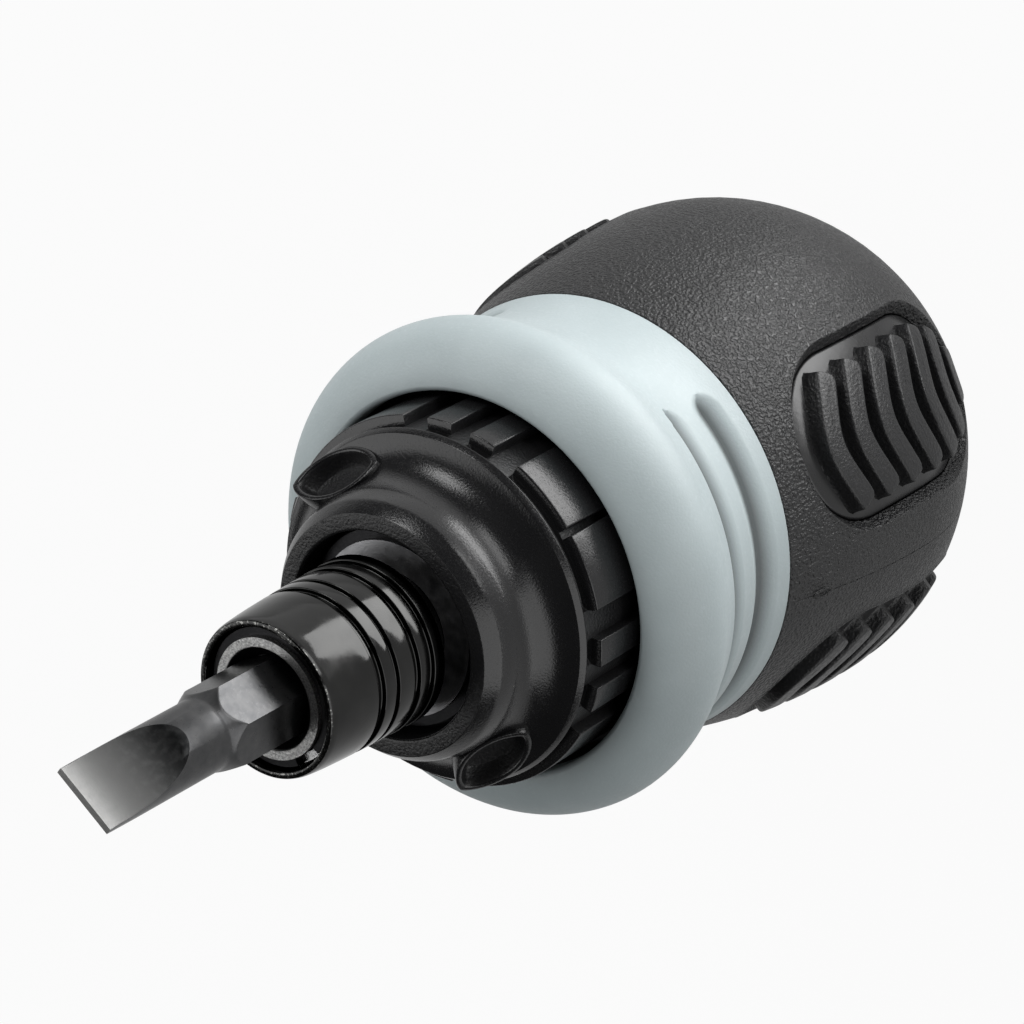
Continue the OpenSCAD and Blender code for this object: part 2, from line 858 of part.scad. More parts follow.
// Toe that stands in a tooth gap of the gear
module pawl_toe() {
  rise = arm_r + arm_w / 2 - toe_r;
  wide = toe_tip + rise * tan(toe_flare);
  rotate(toe_turn) {
    polygon([[toe_r, -toe_tip], [toe_r + rise, -wide], [toe_r + rise, wide], [toe_r, toe_tip]]);
  }
}

module pawl_a() {
  knuckle = on_circle(arm_r, toe_turn);
  color(gear_steel) {
    translate([0, 0, gear_z]) {
      linear_extrude(gear_h) {
        difference() {
          union() {
            translate(pivot) circle(r = boss_r);
            arm(pivot, knuckle, boss_r / 2, arm_w);
            translate(knuckle) circle(r = arm_w);
            pawl_toe();
            arm(pivot, tail, boss_r / 2, tail_round);
            translate(tail) circle(r = tail_round);
          }
          translate(pivot) circle(r = pin_r + run_gap);
        }
      }
    }
  }
}

module pawl_b() {
  mirror([1, 0, 0]) pawl_a();
}

module spindle() {
  color(steel) {
    difference() {
      union() {
        translate([0, 0, tail_end_z]) cylinder(r = journal_r, h = base_top - tail_end_z + eps);
        translate([0, 0, base_top]) linear_extrude(gear_front_z - base_top + eps) gear_seat(0);
        translate([0, 0, gear_front_z]) cylinder(r = spindle_r, h = tube_front_z - gear_front_z);
      }
      tube(journal_r - tail_clip_depth, journal_r + 1, tail_clip_z, tail_clip_t);
      tube(spindle_r - ring_depth, spindle_r + 1, ring_z, ring_t);
      translate([0, 0, socket_z]) {
        rotate([0, 0, hex_turn]) cylinder(r = socket_r, h = socket_depth + eps, $fn = 6);
      }
      translate([0, 0, tube_front_z - mouth_cone_h]) {
        cylinder(r1 = mouth_cone_r - mouth_cone_h, r2 = mouth_cone_r + eps, h = mouth_cone_h + eps);
      }
      translate([0, 0, ball_seat_z]) {
        rotate([0, 90, 0]) {
          cylinder(r = 0.75 * lock_ball_r, h = spindle_r);
          translate([0, 0, ball_seat_r - 0.7 * lock_ball_r]) {
            cylinder(r = lock_ball_r + run_gap, h = spindle_r);
          }
        }
      }
    }
  }
}

// Round with two flats where the gear sits on the spindle
module gear_seat(grow) {
  intersection() {
    circle(r = gear_seat_r + grow);
    square([4 * gear_seat_r, 2 * (gear_seat_flat + grow)], center = true);
  }
}

module ratchet_gear() {
  tip_half = 1.6;
  root_half = 4.4;
  fit = 0.01;
  color(gear_steel) {
    translate([0, 0, gear_z]) {
      linear_extrude(gear_h) {
        difference() {
          polygon([for (k = [0:gear_teeth - 1]) let (a = k * tooth_pitch)
            each [on_circle(gear_root_r, a - root_half), on_circle(gear_tip_r, a - tip_half),
              on_circle(gear_tip_r, a + tip_half), on_circle(gear_root_r, a + root_half)]]);
          gear_seat(fit);
        }
      }
    }
  }
}

module thrust_washer() {
  color(bronze) tube(journal_r + run_gap, washer_r, washer_z, washer_t);
}

module spindle_clip() {
  color(steel) {
    open_ring(journal_r - tail_clip_depth, tail_clip_r, tail_clip_z, tail_clip_t, tail_clip_turn,
      tail_clip_gap);
  }
}

module sleeve_clip() {
  color(steel) open_ring(spindle_r - ring_depth, ring_r, ring_z, ring_t, ring_turn, ring_gap);
}

module spring_washer() {
  color(steel) tube(spindle_r + run_gap, ring_r, cup_z, cup_t);
}

// Wire of the chuck spring: one tube of six sides wound round the spindle
coil_rise = (spring_h - wire_d) / spring_turns;
function coil_mid(k) = let (a = 360 * k / coil_steps)
  [coil_r * cos(a), coil_r * sin(a), spring_z + wire_d / 2 + coil_rise * k / coil_steps];
function coil_ring(k) = let (a = 360 * k / coil_steps)
  [for (j = [0:wire_sides - 1]) let (b = 360 * j / wire_sides)
    coil_mid(k) + wire_d / 2 * [cos(b) * cos(a), cos(b) * sin(a), sin(b)]];
coil_gap = norm(coil_mid(coil_steps) - coil_mid(0)) - wire_d;
echo(chuck_spring_least_gap = coil_gap);

module chuck_spring() {
  last = coil_steps * spring_turns;
  rings = [for (k = [0:last]) each coil_ring(k)];
  sides = [for (k = [0:last - 1], j = [0:wire_sides - 1])
    let (p = k * wire_sides + j, q = k * wire_sides + (j + 1) % wire_sides)
      each [[p, q + wire_sides, q], [p, p + wire_sides, q + wire_sides]]];
  ends = [for (j = [1:wire_sides - 2])
    each [[0, j, j + 1], [last * wire_sides, last * wire_sides + j + 1, last * wire_sides + j]]];
  color(steel) polyhedron(points = rings, faces = concat(sides, ends));
}

// Radius of the sleeve's outside at a distance from its front rim
function sleeve_at(d) = sleeve_front_r + (sleeve_r - sleeve_front_r) * sqrt(d / sleeve_len);

module chuck_sleeve() {
  rim = 0.3;
  steps = [0.02, 0.1, 0.25, 0.45, 0.7, 1];
  ramp_end_z = ramp_z - ramp_len;
  ramp_end_r = land_r + ramp_slope * ramp_len;
  color(sleeve_black) {
    rotate_extrude() {
      difference() {
        polygon([[0, sleeve_z], each [for (k = [len(steps) - 1:-1:0])
          let (d = steps[k] * sleeve_len) [sleeve_at(d), sleeve_front_z - d]],
          [sleeve_front_r - rim / 2, sleeve_front_z], [0, sleeve_front_z]]);
        for (g = sleeve_grooves) {
          floor_r = sleeve_at(g[0] + g[1] / 2) - sleeve_groove;
          translate([floor_r, sleeve_front_z - g[0] - g[1]]) square([sleeve_r, g[1]]);
        }
        polygon([[0, sleeve_z - 1], [ramp_end_r, sleeve_z - 1], [ramp_end_r, ramp_end_z], [land_r, ramp_z],
          [land_r, shoulder_z], [chamber_r, shoulder_z], [chamber_r, sleeve_front_z + 1],
          [0, sleeve_front_z + 1]]);
      }
    }
  }
}

module lock_ball() {
  color(steel) translate([ball_seat_r, 0, ball_seat_z]) sphere(r = lock_ball_r);
}

module slotted_bit() {
  bevel_r = hex_corner_r - hex_bevel / 2;
  color(bit_grey) {
    difference() {
      union() {
        intersection() {
          translate([0, 0, bit_z]) {
            rotate([0, 0, hex_turn]) cylinder(r = hex_corner_r, h = hex_front_z - bit_z, $fn = 6);
          }
          rotate_extrude() {
            polygon([[0, bit_z], [bevel_r, bit_z], [hex_corner_r, bit_z + hex_bevel],
              [hex_corner_r, hex_front_z - hex_taper], [neck_r, hex_front_z], [0, hex_front_z]]);
          }
        }
        translate([0, 0, hex_front_z - eps]) cylinder(r = neck_r, h = neck_len + eps);
      }
      rotate([0, 0, blade_turn]) {
        for (side = [-1, 1]) {
          translate([-2 * neck_r, side * (tip_t / 2 + grind_round), bit_tip_z]) {
            rotate([0, 90, 0]) cylinder(r = grind_round, h = 4 * neck_r);
          }
        }
      }
    }
  }
}

handle_core();
rear_grip();
grip_pad(0);  // grip_pad_1
grip_pad(1);  // grip_pad_2
grip_pad(2);  // grip_pad_3
grip_pad(3);  // grip_pad_4
front_grip();
ratchet_housing();
front_plate();
housing_screws();
spindle_bush();
selector_clip();
pawl_pins();
pawl_spring_a();
pawl_spring_b();
detent_spring();
selector_ring();
pawl_a();
pawl_b();
spindle();
ratchet_gear();
thrust_washer();
spindle_clip();
sleeve_clip();
spring_washer();
chuck_spring();
chuck_sleeve();
lock_ball();
slotted_bit();
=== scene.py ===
from math import acos, asin, atan2, cos, degrees, hypot, pi, radians, sin, sqrt, tan

import bmesh
import bpy
from mathutils import Matrix, Vector


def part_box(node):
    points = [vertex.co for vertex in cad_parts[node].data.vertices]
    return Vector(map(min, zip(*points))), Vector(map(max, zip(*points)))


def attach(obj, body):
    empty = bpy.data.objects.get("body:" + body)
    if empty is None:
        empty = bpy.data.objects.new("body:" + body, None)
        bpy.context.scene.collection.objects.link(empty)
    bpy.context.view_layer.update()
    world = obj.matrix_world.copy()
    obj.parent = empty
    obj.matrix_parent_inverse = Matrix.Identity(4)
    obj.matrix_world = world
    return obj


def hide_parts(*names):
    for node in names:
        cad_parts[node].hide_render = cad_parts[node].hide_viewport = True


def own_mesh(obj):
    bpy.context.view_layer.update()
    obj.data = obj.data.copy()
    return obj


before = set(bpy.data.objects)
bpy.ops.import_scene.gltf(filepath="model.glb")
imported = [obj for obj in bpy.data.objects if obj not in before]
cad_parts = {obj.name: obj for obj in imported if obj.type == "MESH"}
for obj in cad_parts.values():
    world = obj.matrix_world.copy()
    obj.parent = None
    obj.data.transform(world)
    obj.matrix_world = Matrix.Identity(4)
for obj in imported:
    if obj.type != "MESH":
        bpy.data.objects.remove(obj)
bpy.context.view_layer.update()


# Core of the handle: a hard black moulding that the grip and the ring are moulded over.
# Only its round end shows, flush in the butt, and the ratchet sits in its pocket.
MM = 0.001


def new_finish(name, colour, roughness, metallic=0.0, specular=0.5):
    """A new material, its node tree, its shader and the piece's own coordinates."""
    finish = bpy.data.materials.new(name)
    finish.use_nodes = True
    tree = finish.node_tree
    shader = tree.nodes["Principled BSDF"]
    shader.inputs["Base Color"].default_value = (*colour, 1)
    shader.inputs["Roughness"].default_value = roughness
    shader.inputs["Metallic"].default_value = metallic
    shader.inputs["Specular IOR Level"].default_value = specular
    place = tree.nodes.new("ShaderNodeTexCoord").outputs["Object"]
    return finish, tree, shader, place


def add(tree, kind, values, **settings):
    """A new node; a value that is another node's socket is linked, any other is set."""
    node = tree.nodes.new(kind)
    for key, setting in settings.items():
        setattr(node, key, setting)
    for key, value in values.items():
        if isinstance(value, bpy.types.NodeSocket):
            tree.links.new(value, node.inputs[key])
        else:
            node.inputs[key].default_value = value
    return node


def noise(tree, place, size, detail=2.0, rough=0.5):
    """Cloudy pattern whose spots are about size millimetres wide."""
    values = {"Vector": place, "Scale": 1 / (size * MM), "Detail": detail, "Roughness": rough}
    return add(tree, "ShaderNodeTexNoise", values).outputs["Fac"]


def spread(tree, value, low, high, to_low, to_high):
    """Maps a value from one range to another and holds it at the ends."""
    values = {"Value": value, "From Min": low, "From Max": high, "To Min": to_low, "To Max": to_high}
    return add(tree, "ShaderNodeMapRange", values).outputs["Result"]


def blend(tree, share, first, second):
    """Mixes two colours, given as three numbers or as sockets."""
    first, second = ((*c, 1) if isinstance(c, tuple) else c for c in (first, second))
    values = {"Fac": share, "Color1": first, "Color2": second}
    return add(tree, "ShaderNodeMixRGB", values).outputs["Color"]


def emboss(tree, shader, height, depth):
    """Adds a relief of depth millimetres to what the shader's surface already has."""
    bump = add(tree, "ShaderNodeBump", {"Height": height, "Distance": depth * MM})
    if shader.inputs["Normal"].links:
        tree.links.new(shader.inputs["Normal"].links[0].from_socket, bump.inputs["Normal"])
    tree.links.new(bump.outputs["Normal"], shader.inputs["Normal"])


def dress(finish, *nodes):
    """Gives CAD nodes that keep their shape a finish."""
    for name in nodes:
        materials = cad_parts[name].data.materials
        materials.clear()
        materials.append(finish)


def core_plastic():
    finish, tree, shader, place = new_finish("core_plastic", (0.012, 0.012, 0.013), 0.55)
    tone = blend(tree, noise(tree, place, 6), (0.009, 0.009, 0.010), (0.017, 0.017, 0.018))
    tree.links.new(tone, shader.inputs["Base Color"])
    emboss(tree, shader, noise(tree, place, 0.3, 4), 0.02)
    return finish


dress(core_plastic(), "handle_core")


# Rear grip: a ball of black rubber-like plastic with a pebble grain, moulded over the core.
# It parts in the XZ plane, where a fine line and the mark of the gate show, and has four
# sunk panels with rounded corners and soft rims.
ball_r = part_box("rear_grip")[1].x / MM
ball_z = 20.0
seam_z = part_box("rear_grip")[1].z / MM
seam_r = 19.81
shoulder_round = ((seam_z - ball_z) ** 2 + (ball_r - seam_r) ** 2) / (2 * (ball_r - seam_r))
grip_wall = 3.2
butt_disc_r = 7.5
panel_turn = 33.0
panel_w = 14.8
panel_rear_z = 9.5
panel_front_z = 34.3
panel_corner = 7.2
panel_depth = 1.1
panel_floor_t = 1.0
# Rim of a panel: how far outside the pad, and how deep under the grip's surface
panel_rim = ((1.15, 0), (1.08, -0.03), (0.98, -0.035), (0.9, 0.02), (0.8, 0.13), (0.45, 0.6),
             (0.14, 1.0), (0.03, 1.12))
round_steps = 30
side_steps = 36
cap_z = 3.0
seam_bevel = 0.3
parting_depth = 0.07


def grip_radius(z, depth=0.0):
    """Radius of the grip at a height, at a depth under its surface."""
    if z < ball_z:
        return sqrt((ball_r - depth) ** 2 - (z - ball_z) ** 2)
    return ball_r - shoulder_round + sqrt((shoulder_round - depth) ** 2 - (z - ball_z) ** 2)


def on_panel(u, z, depth):
    """Point of the grip at a distance u beside a panel's middle, facing +X."""
    return Vector((sqrt(grip_radius(z, depth) ** 2 - u * u), u, z))


def panel_outline(grow):
    """Rounded outline of a panel, seen flat, from its lower left corner round by the right."""
    half = [(panel_front_z - panel_rear_z) / 2 + grow, panel_w / 2 + grow]
    corner = panel_corner + grow
    bend = corner * pi / 4
    points = []
    for side in range(4):
        reach, straight = half[side % 2], 2 * (half[1 - side % 2] - corner)
        steps = (round_steps, side_steps)[side % 2]
        for k in range(steps):
            s = k / steps * (straight + 2 * bend) - bend
            over = min(s, 0) if s < 0 else max(s - straight, 0)
            along = min(max(s, 0), straight) - straight / 2 + corner * sin(over / corner)
            out = reach - corner * (1 - cos(over / corner))
            points.append(Matrix.Rotation(side * pi / 2, 2) @ Vector((along, -out)))
    middle = (panel_front_z + panel_rear_z) / 2
    return [(p.x, p.y + middle) for p in points]


def drawn_in(outline, share):
    """An outline drawn in by a share of the way to the panel's middle line."""
    low, high = panel_rear_z + panel_corner, panel_front_z - panel_corner
    return [(u * (1 - share), z + share * (min(max(z, low), high) - z)) for u, z in outline]


def quarter_border():
    """Border of a quarter of the grip round a panel: angle from the panel, and height."""
    left, right, top = -panel_turn, 90 - panel_turn, seam_z - seam_bevel
    corners = [(left, cap_z), (right, cap_z), (right, top), (left, top), (left, cap_z)]
    points = []
    for side, (start, end) in enumerate(zip(corners, corners[1:])):
        steps = (round_steps, side_steps)[side % 2]
        points += [Vector(start).lerp(Vector(end), k / steps) for k in range(steps)]
    return points


def raise_wall(bm, loops):
    """Raises a wall through closed loops of points, and returns the last loop's vertices."""
    ring = [bm.verts.new(p) for p in loops[0]]
    edges = [bm.edges.new(pair) for pair in zip(ring, ring[1:] + ring[:1])]
    for loop in loops[1:]:
        made = bmesh.ops.extrude_edge_only(bm, edges=edges)["geom"]
        fresh = {v for v in made if isinstance(v, bmesh.types.BMVert)}
        edges = [e for e in made if isinstance(e, bmesh.types.BMEdge) and fresh.issuperset(e.verts)]
        ring = [next(w for w in (e.other_vert(v) for e in v.link_edges) if w in fresh) for v in ring]
        for v, p in zip(ring, loop):
            v.co = p
    return ring


def spun(bm, profile, steps):
    """Turns a line of (radius, height) points once round the tool's axis."""
    line = [bm.verts.new((r, 0, z)) for r, z in profile]
    edges = [bm.edges.new(pair) for pair in zip(line, line[1:])]
    bmesh.ops.spin(bm, geom=line + edges, cent=(0, 0, 0), axis=(0, 0, 1), dvec=(0, 0, 0),
                   angle=2 * pi, steps=steps, use_merge=True)


def turned(bm, angle):
    """Turns all that is made so far round the tool's axis, by an angle in degrees."""
    bmesh.ops.rotate(bm, verts=bm.verts, cent=(0, 0, 0),
                     matrix=Matrix.Rotation(radians(angle), 3, "Z"))


def rounded(corners, step=15):
    """Line through (x, y, radius) corners, each rounded by an arc of its radius."""
    points = []
    for i, (x, y, radius) in enumerate(corners):
        here = Vector((x, y))
        if radius == 0:
            points.append(here)
            continue
        back = (Vector(corners[i - 1][:2]) - here).normalized()
        on = (Vector(corners[(i + 1) % len(corners)][:2]) - here).normalized()
        half = acos(max(-1, min(1, back.dot(on)))) / 2
        middle = here + (back + on).normalized() * radius / sin(half)
        first, last = (here + side * radius / tan(half) - middle for side in (back, on))
        sweep = pi - 2 * half
        count = max(2, round(degrees(sweep) / step))
        for k in range(count + 1):
            share = k / count * sweep
            points.append(middle + (first * sin(sweep - share) + last * sin(share)) / sin(sweep))
    return [tuple(p) for p in points]


def piece(name, bm, finishes, body, slot, *nodes):
    """Makes a finished bmesh, in millimetres, a piece that stands for CAD nodes on a body."""
    bmesh.ops.remove_doubles(bm, verts=bm.verts, dist=0.0005)
    bmesh.ops.dissolve_degenerate(bm, edges=bm.edges, dist=0.0005)
    bmesh.ops.recalc_face_normals(bm, faces=bm.faces)
    bmesh.ops.scale(bm, verts=bm.verts, vec=(MM, MM, MM))
    mesh = bpy.data.meshes.new(name)
    bm.to_mesh(mesh)
    bm.free()
    mesh.shade_smooth()
    mesh.set_sharp_from_angle(angle=radians(38))
    for finish in finishes:
        mesh.materials.append(finish)
    made = bpy.data.objects.new(name, mesh)
    bpy.context.scene.collection.objects.link(made)
    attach(made, body)
    if nodes:
        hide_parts(*nodes)
    return made


def times(tree, first, second):
    """Product of two values."""
    return add(tree, "ShaderNodeMath", {0: first, 1: second}, operation="MULTIPLY").outputs[0]


def dust(tree, place, tone, apart):
    """Lays a few pale specks over a colour, about apart millimetres from each other."""
    cells = add(tree, "ShaderNodeTexVoronoi", {"Vector": place, "Scale": 1 / (apart * MM)})
    near = spread(tree, cells.outputs["Distance"], 0.02, 0.035, 1, 0)
    chosen = spread(tree, cells.outputs["Color"], 0.62, 0.66, 0, 0.45)
    return blend(tree, times(tree, near, chosen), tone, (0.4, 0.4, 0.38))


def grip_rubber(name, relief):
    finish, tree, shader, place = new_finish(name, (0.008, 0.008, 0.009), 0.4, specular=0.45)
    tone = blend(tree, noise(tree, place, 4), (0.006, 0.006, 0.0065), (0.010, 0.0102, 0.0108))
    tree.links.new(dust(tree, place, tone, 2.6), shader.inputs["Base Color"])
    grain = spread(tree, noise(tree, place, 0.28, 1.5, 0.45), 0.36, 0.64, 0, 1)
    tree.links.new(spread(tree, grain, 0, 1, 0.46, 0.34), shader.inputs["Roughness"])
    emboss(tree, shader, grain, relief)
    emboss(tree, shader, noise(tree, place, 1.4, 2), 0.012)
    return finish


def rear_grip():
    bm = bmesh.new()
    outline = [(degrees(asin(u / grip_radius(z))), z) for u, z in panel_outline(panel_rim[0][0])]
    border = quarter_border()
    parting_from = 2 * round_steps + side_steps
    loops = []
    for share in (1, 0.985, 0.93, 0.82, 0.7, 0.58, 0.46, 0.34, 0.22, 0.12, 0.05, 0):
        loop = []
        for k, (rim, edge) in enumerate(zip(outline, border)):
            turn, z = Vector(rim).lerp(edge, share)
            sunk = parting_depth if share == 1 and k > parting_from else 0
            r = grip_radius(z, sunk)
            loop.append(Vector((r * cos(radians(turn)), r * sin(radians(turn)), z)))
        loops.append(loop)
    low = panel_depth + panel_floor_t
    for grow, depth in panel_rim[1:] + ((0, low),):
        loops.append([on_panel(u, z, depth) for u, z in panel_outline(grow)])
    for share in (0.25, 0.5, 0.75, 1):
        loops.append([on_panel(u, z, low) for u, z in drawn_in(panel_outline(0), share)])
    raise_wall(bm, loops)
    turned(bm, panel_turn)
    for axis in "XY":
        bmesh.ops.mirror(bm, geom=bm.verts[:] + bm.edges[:] + bm.faces[:], merge_dist=0.001, axis=axis)
    wall = [(grip_radius(z), z) for z in (cap_z, 2.3, 1.6, 1.0)]
    wall += rounded([(*wall[-1], 0), (grip_radius(0.1), 0, 0.6), (butt_disc_r, 0, 0.15),
                     (butt_disc_r, grip_wall, 0)])[1:]
    wall += [(grip_radius(z, grip_wall), z) for z in (grip_wall, 6, 10, 15, 20, 27, 33, seam_z)]
    wall += rounded([(*wall[-1], 0), (seam_r, seam_z, 0.14),
                     (grip_radius(seam_z - seam_bevel), seam_z - seam_bevel, 0)])[1:]
    spun(bm, wall, 4 * round_steps)
    return piece("rear_grip_shell", bm, [grip_finish], "handle", "grip_black", "rear_grip")


grip_finish = grip_rubber("grip_rubber", 0.11)
rear_grip()


# Mark of the moulding gate on the parting line: a small raised lip round a dimple, left
# where the runner was torn off. It is part of the rear grip.
gate_z = 34.5
gate_len = 2.0
gate_w = 0.85
gate_steps = 32
# Section of the mark: share of its size, and depth under the grip's surface
gate_section = ((1.25, 0.12), (1.1, -0.02), (0.95, -0.14), (0.8, -0.15), (0.62, -0.02), (0.4, 0.1),
                (0.1, 0.13))


def gate_mark():
    bm = bmesh.new()
    loops = []
    for size, depth in gate_section:
        loop = []
        for k in range(gate_steps):
            a = 2 * pi * k / gate_steps
            u, z = size * gate_w / 2 * sin(a), gate_z + size * gate_len / 2 * cos(a)
            loop.append(on_panel(u, z, depth))
        loops.append(loop)
    bm.faces.new(raise_wall(bm, loops))
    return piece("gate_mark", bm, [grip_finish], "handle", "grip_black")


gate_mark()


# Grip pads: four panels of softer black rubber set in the grip, each a smooth sheet with
# seven grained ribs that bend to a knee towards the blade and stand proud for the fingers.
rib_n = 7
rib_pitch = 3.45
rib_w = 2.0
rib_half = 6.0
rib_drop = 2.5
rib_lead = 2.8
rib_proud = 0.3
rib_full_z = 16.6
rib_shrink = 0.42
last_rib_half = 2.6
rib_knee = 0.5
rib_path_steps = 18
rib_end_steps = 7
pad_gap = 0.1


def pad_sheet_rubber():
    finish, tree, shader, place = new_finish("pad_sheet_rubber", (0.009, 0.009, 0.010), 0.28)
    smear = noise(tree, place, 3.0, 3)
    tree.links.new(spread(tree, smear, 0.3, 0.7, 0.22, 0.34), shader.inputs["Roughness"])
    tone = blend(tree, smear, (0.007, 0.007, 0.0075), (0.011, 0.011, 0.0115))
    tree.links.new(dust(tree, place, tone, 2.2), shader.inputs["Base Color"])
    emboss(tree, shader, noise(tree, place, 0.5, 2), 0.012)
    return finish


def rib_loop(knee_z, reach, wide, depth):
    """Closed loop round a rib's bent middle line, wide to each side, at a depth in the grip."""
    line = []
    for k in range(rib_path_steps + 1):
        u = (2 * k / rib_path_steps - 1) * (reach - rib_w / 2)
        bent = sqrt((u / rib_half) ** 2 + rib_knee ** 2) - rib_knee
        line.append(Vector((u, knee_z - rib_drop * bent / (sqrt(1 + rib_knee ** 2) - rib_knee))))
    loop = []
    for way in (1, -1):
        path = line[::way]
        for k, p in enumerate(path):
            along = (path[min(k + 1, rib_path_steps)] - path[max(k - 1, 0)]).normalized()
            loop.append(p + wide * Vector((along.y, -along.x)))
        for k in range(1, rib_end_steps):
            a = pi * k / rib_end_steps - pi / 2
            square = 1 / max(abs(cos(a)), abs(sin(a))) ** 0.6
            outward = cos(a) * along + sin(a) * Vector((-along.y, along.x))
            loop.append(path[-1] + wide * square * outward)
    return [on_panel(p.x, p.y, depth) for p in loop]


def grip_pad(number, turn):
    bm = bmesh.new()
    low, high = panel_depth + panel_floor_t * 0.9, panel_depth
    flat = panel_outline(-pad_gap)
    loops = [[on_panel(u, z, low) for u, z in panel_outline(-pad_gap - 1)]]
    loops += [[on_panel(u, z, depth) for u, z in panel_outline(grow - pad_gap)]
              for grow, depth in ((0, low), (0, high + 0.15), (-0.06, high + 0.04), (-0.2, high))]
    for share in (0.2, 0.4, 0.6, 0.8, 1):
        loops.append([on_panel(u, z, high) for u, z in drawn_in(flat, share)])
    bm.faces.new(list(reversed(raise_wall(bm, loops[:0:-1] + loops[:1]))))
    sheet_faces = len(bm.faces)
    half = rib_w / 2
    section = ((half + 0.22, high + 0.1), (half + 0.1, high - 0.08), (half + 0.05, high - 0.3),
               (half, 0.05), (half - 0.02, 0.18 - rib_proud), (half - 0.08, 0.06 - rib_proud),
               (half - 0.18, 0.01 - rib_proud), (half - 0.3, -rib_proud), (0.05, -rib_proud))
    for k in range(rib_n):
        knee_z = panel_front_z - rib_lead - k * rib_pitch
        reach = rib_half - rib_shrink * max(rib_full_z - knee_z, 0)
        if k == rib_n - 1:
            reach = last_rib_half
        top = raise_wall(bm, [rib_loop(knee_z, reach, wide, depth) for wide, depth in section])
        bm.faces.new(top)
    for face in list(bm.faces)[sheet_faces:]:
        face.material_index = 1
    turned(bm, turn)
    return piece(f"grip_pad_{number}_ribbed", bm, [pad_finish, rib_finish], "handle", "pad_black",
                 f"grip_pad_{number}")


pad_finish, rib_finish = pad_sheet_rubber(), grip_rubber("rib_rubber", 0.022)
for number, turn in enumerate((panel_turn, 180 - panel_turn, 180 + panel_turn, 360 - panel_turn), 1):
    grip_pad(number, turn)


# Front grip: a ring of softer blue-grey rubber with a fat bead round the mouth, a waist behind
# it, and two finger grooves on each side that end in rounded tips and are darkened by painted shade.
mouth_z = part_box("front_grip")[1].z / MM
bead_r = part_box("front_grip")[1].x / MM
bead_round = 4.4
bead_z = 51.5
bead_mid_r = bead_r - bead_round
waist_r = 19.3
waist_z = 42.3
waist_round = ((bead_z - waist_z) ** 2 + (waist_r - bead_mid_r) ** 2 - bead_round ** 2) / (
    2 * (bead_round - waist_r + bead_mid_r))
bead_join_z = bead_z - bead_round * (bead_z - waist_z) / (waist_round + bead_round)
mouth_r = 16.6
barrel_r = 18.0
barrel_z = mouth_z - 1.8
groove_arc = 118
groove_tip = 1.8
groove_top_z = 47.3
groove_rows = 62
seam_lip = 0.14
bead_end = 92
bead_steps = 32
ring_steps = 600
# Each groove: height of its lowest line, width before and behind that line, depth, and whether
# its front edge is crisp
grooves = ((46.85, 0.32, 2.0, 1.3, True), (41.4, 1.8, 1.5, 0.95, False))


def waist_at(z):
    return waist_r + waist_round - sqrt(waist_round ** 2 - (z - waist_z) ** 2)


def groove_depth(z, beyond):
    """Depth of the finger grooves at a height, a distance beyond the groove's tip."""
    depth = 0
    fade = sqrt(1 - min(max(beyond, 0) / groove_tip, 1) ** 2)
    for low, before, behind, deep, crisp in grooves:
        side = (z - low) / before if z > low else (low - z) / behind
        off = min(side / max(fade, 0.01), 1)
        shape = 1 - off * off if crisp and z > low else (1 - off) ** 1.25
        depth = max(depth, deep * fade * shape)
    return depth


def ring_rubber():
    finish, tree, shader, place = new_finish("ring_rubber", (0.42, 0.50, 0.53), 0.5, specular=0.4)
    cloud = noise(tree, place, 7, 3)
    tone = blend(tree, spread(tree, cloud, 0.3, 0.7, 0, 1), (0.345, 0.395, 0.405), (0.38, 0.434, 0.444))
    fine = noise(tree, place, 0.35, 3)
    tone = blend(tree, spread(tree, fine, 0.55, 0.8, 0, 0.25), tone, (0.44, 0.5, 0.51))
    # Painted shade: the colour darkens towards near-black where the finger grooves cut deepest.
    painted_groove_shade = add(tree, "ShaderNodeAttribute", {}, attribute_name="painted_groove_shade").outputs["Fac"]
    tone = blend(tree, spread(tree, painted_groove_shade, 0.12, 0.75, 0, 0.86), tone, (0.07, 0.078, 0.08))
    tree.links.new(tone, shader.inputs["Base Color"])
    tree.links.new(spread(tree, fine, 0.3, 0.7, 0.56, 0.42), shader.inputs["Roughness"])
    shader.inputs["Subsurface Weight"].default_value = 0.08
    shader.inputs["Subsurface Radius"].default_value = (0.6 * MM, 0.7 * MM, 0.7 * MM)
    shader.inputs["Subsurface Scale"].default_value = 1.0
    emboss(tree, shader, noise(tree, place, 0.22, 2), 0.02)
    emboss(tree, shader, noise(tree, place, 2.5, 2), 0.03)
    return finish


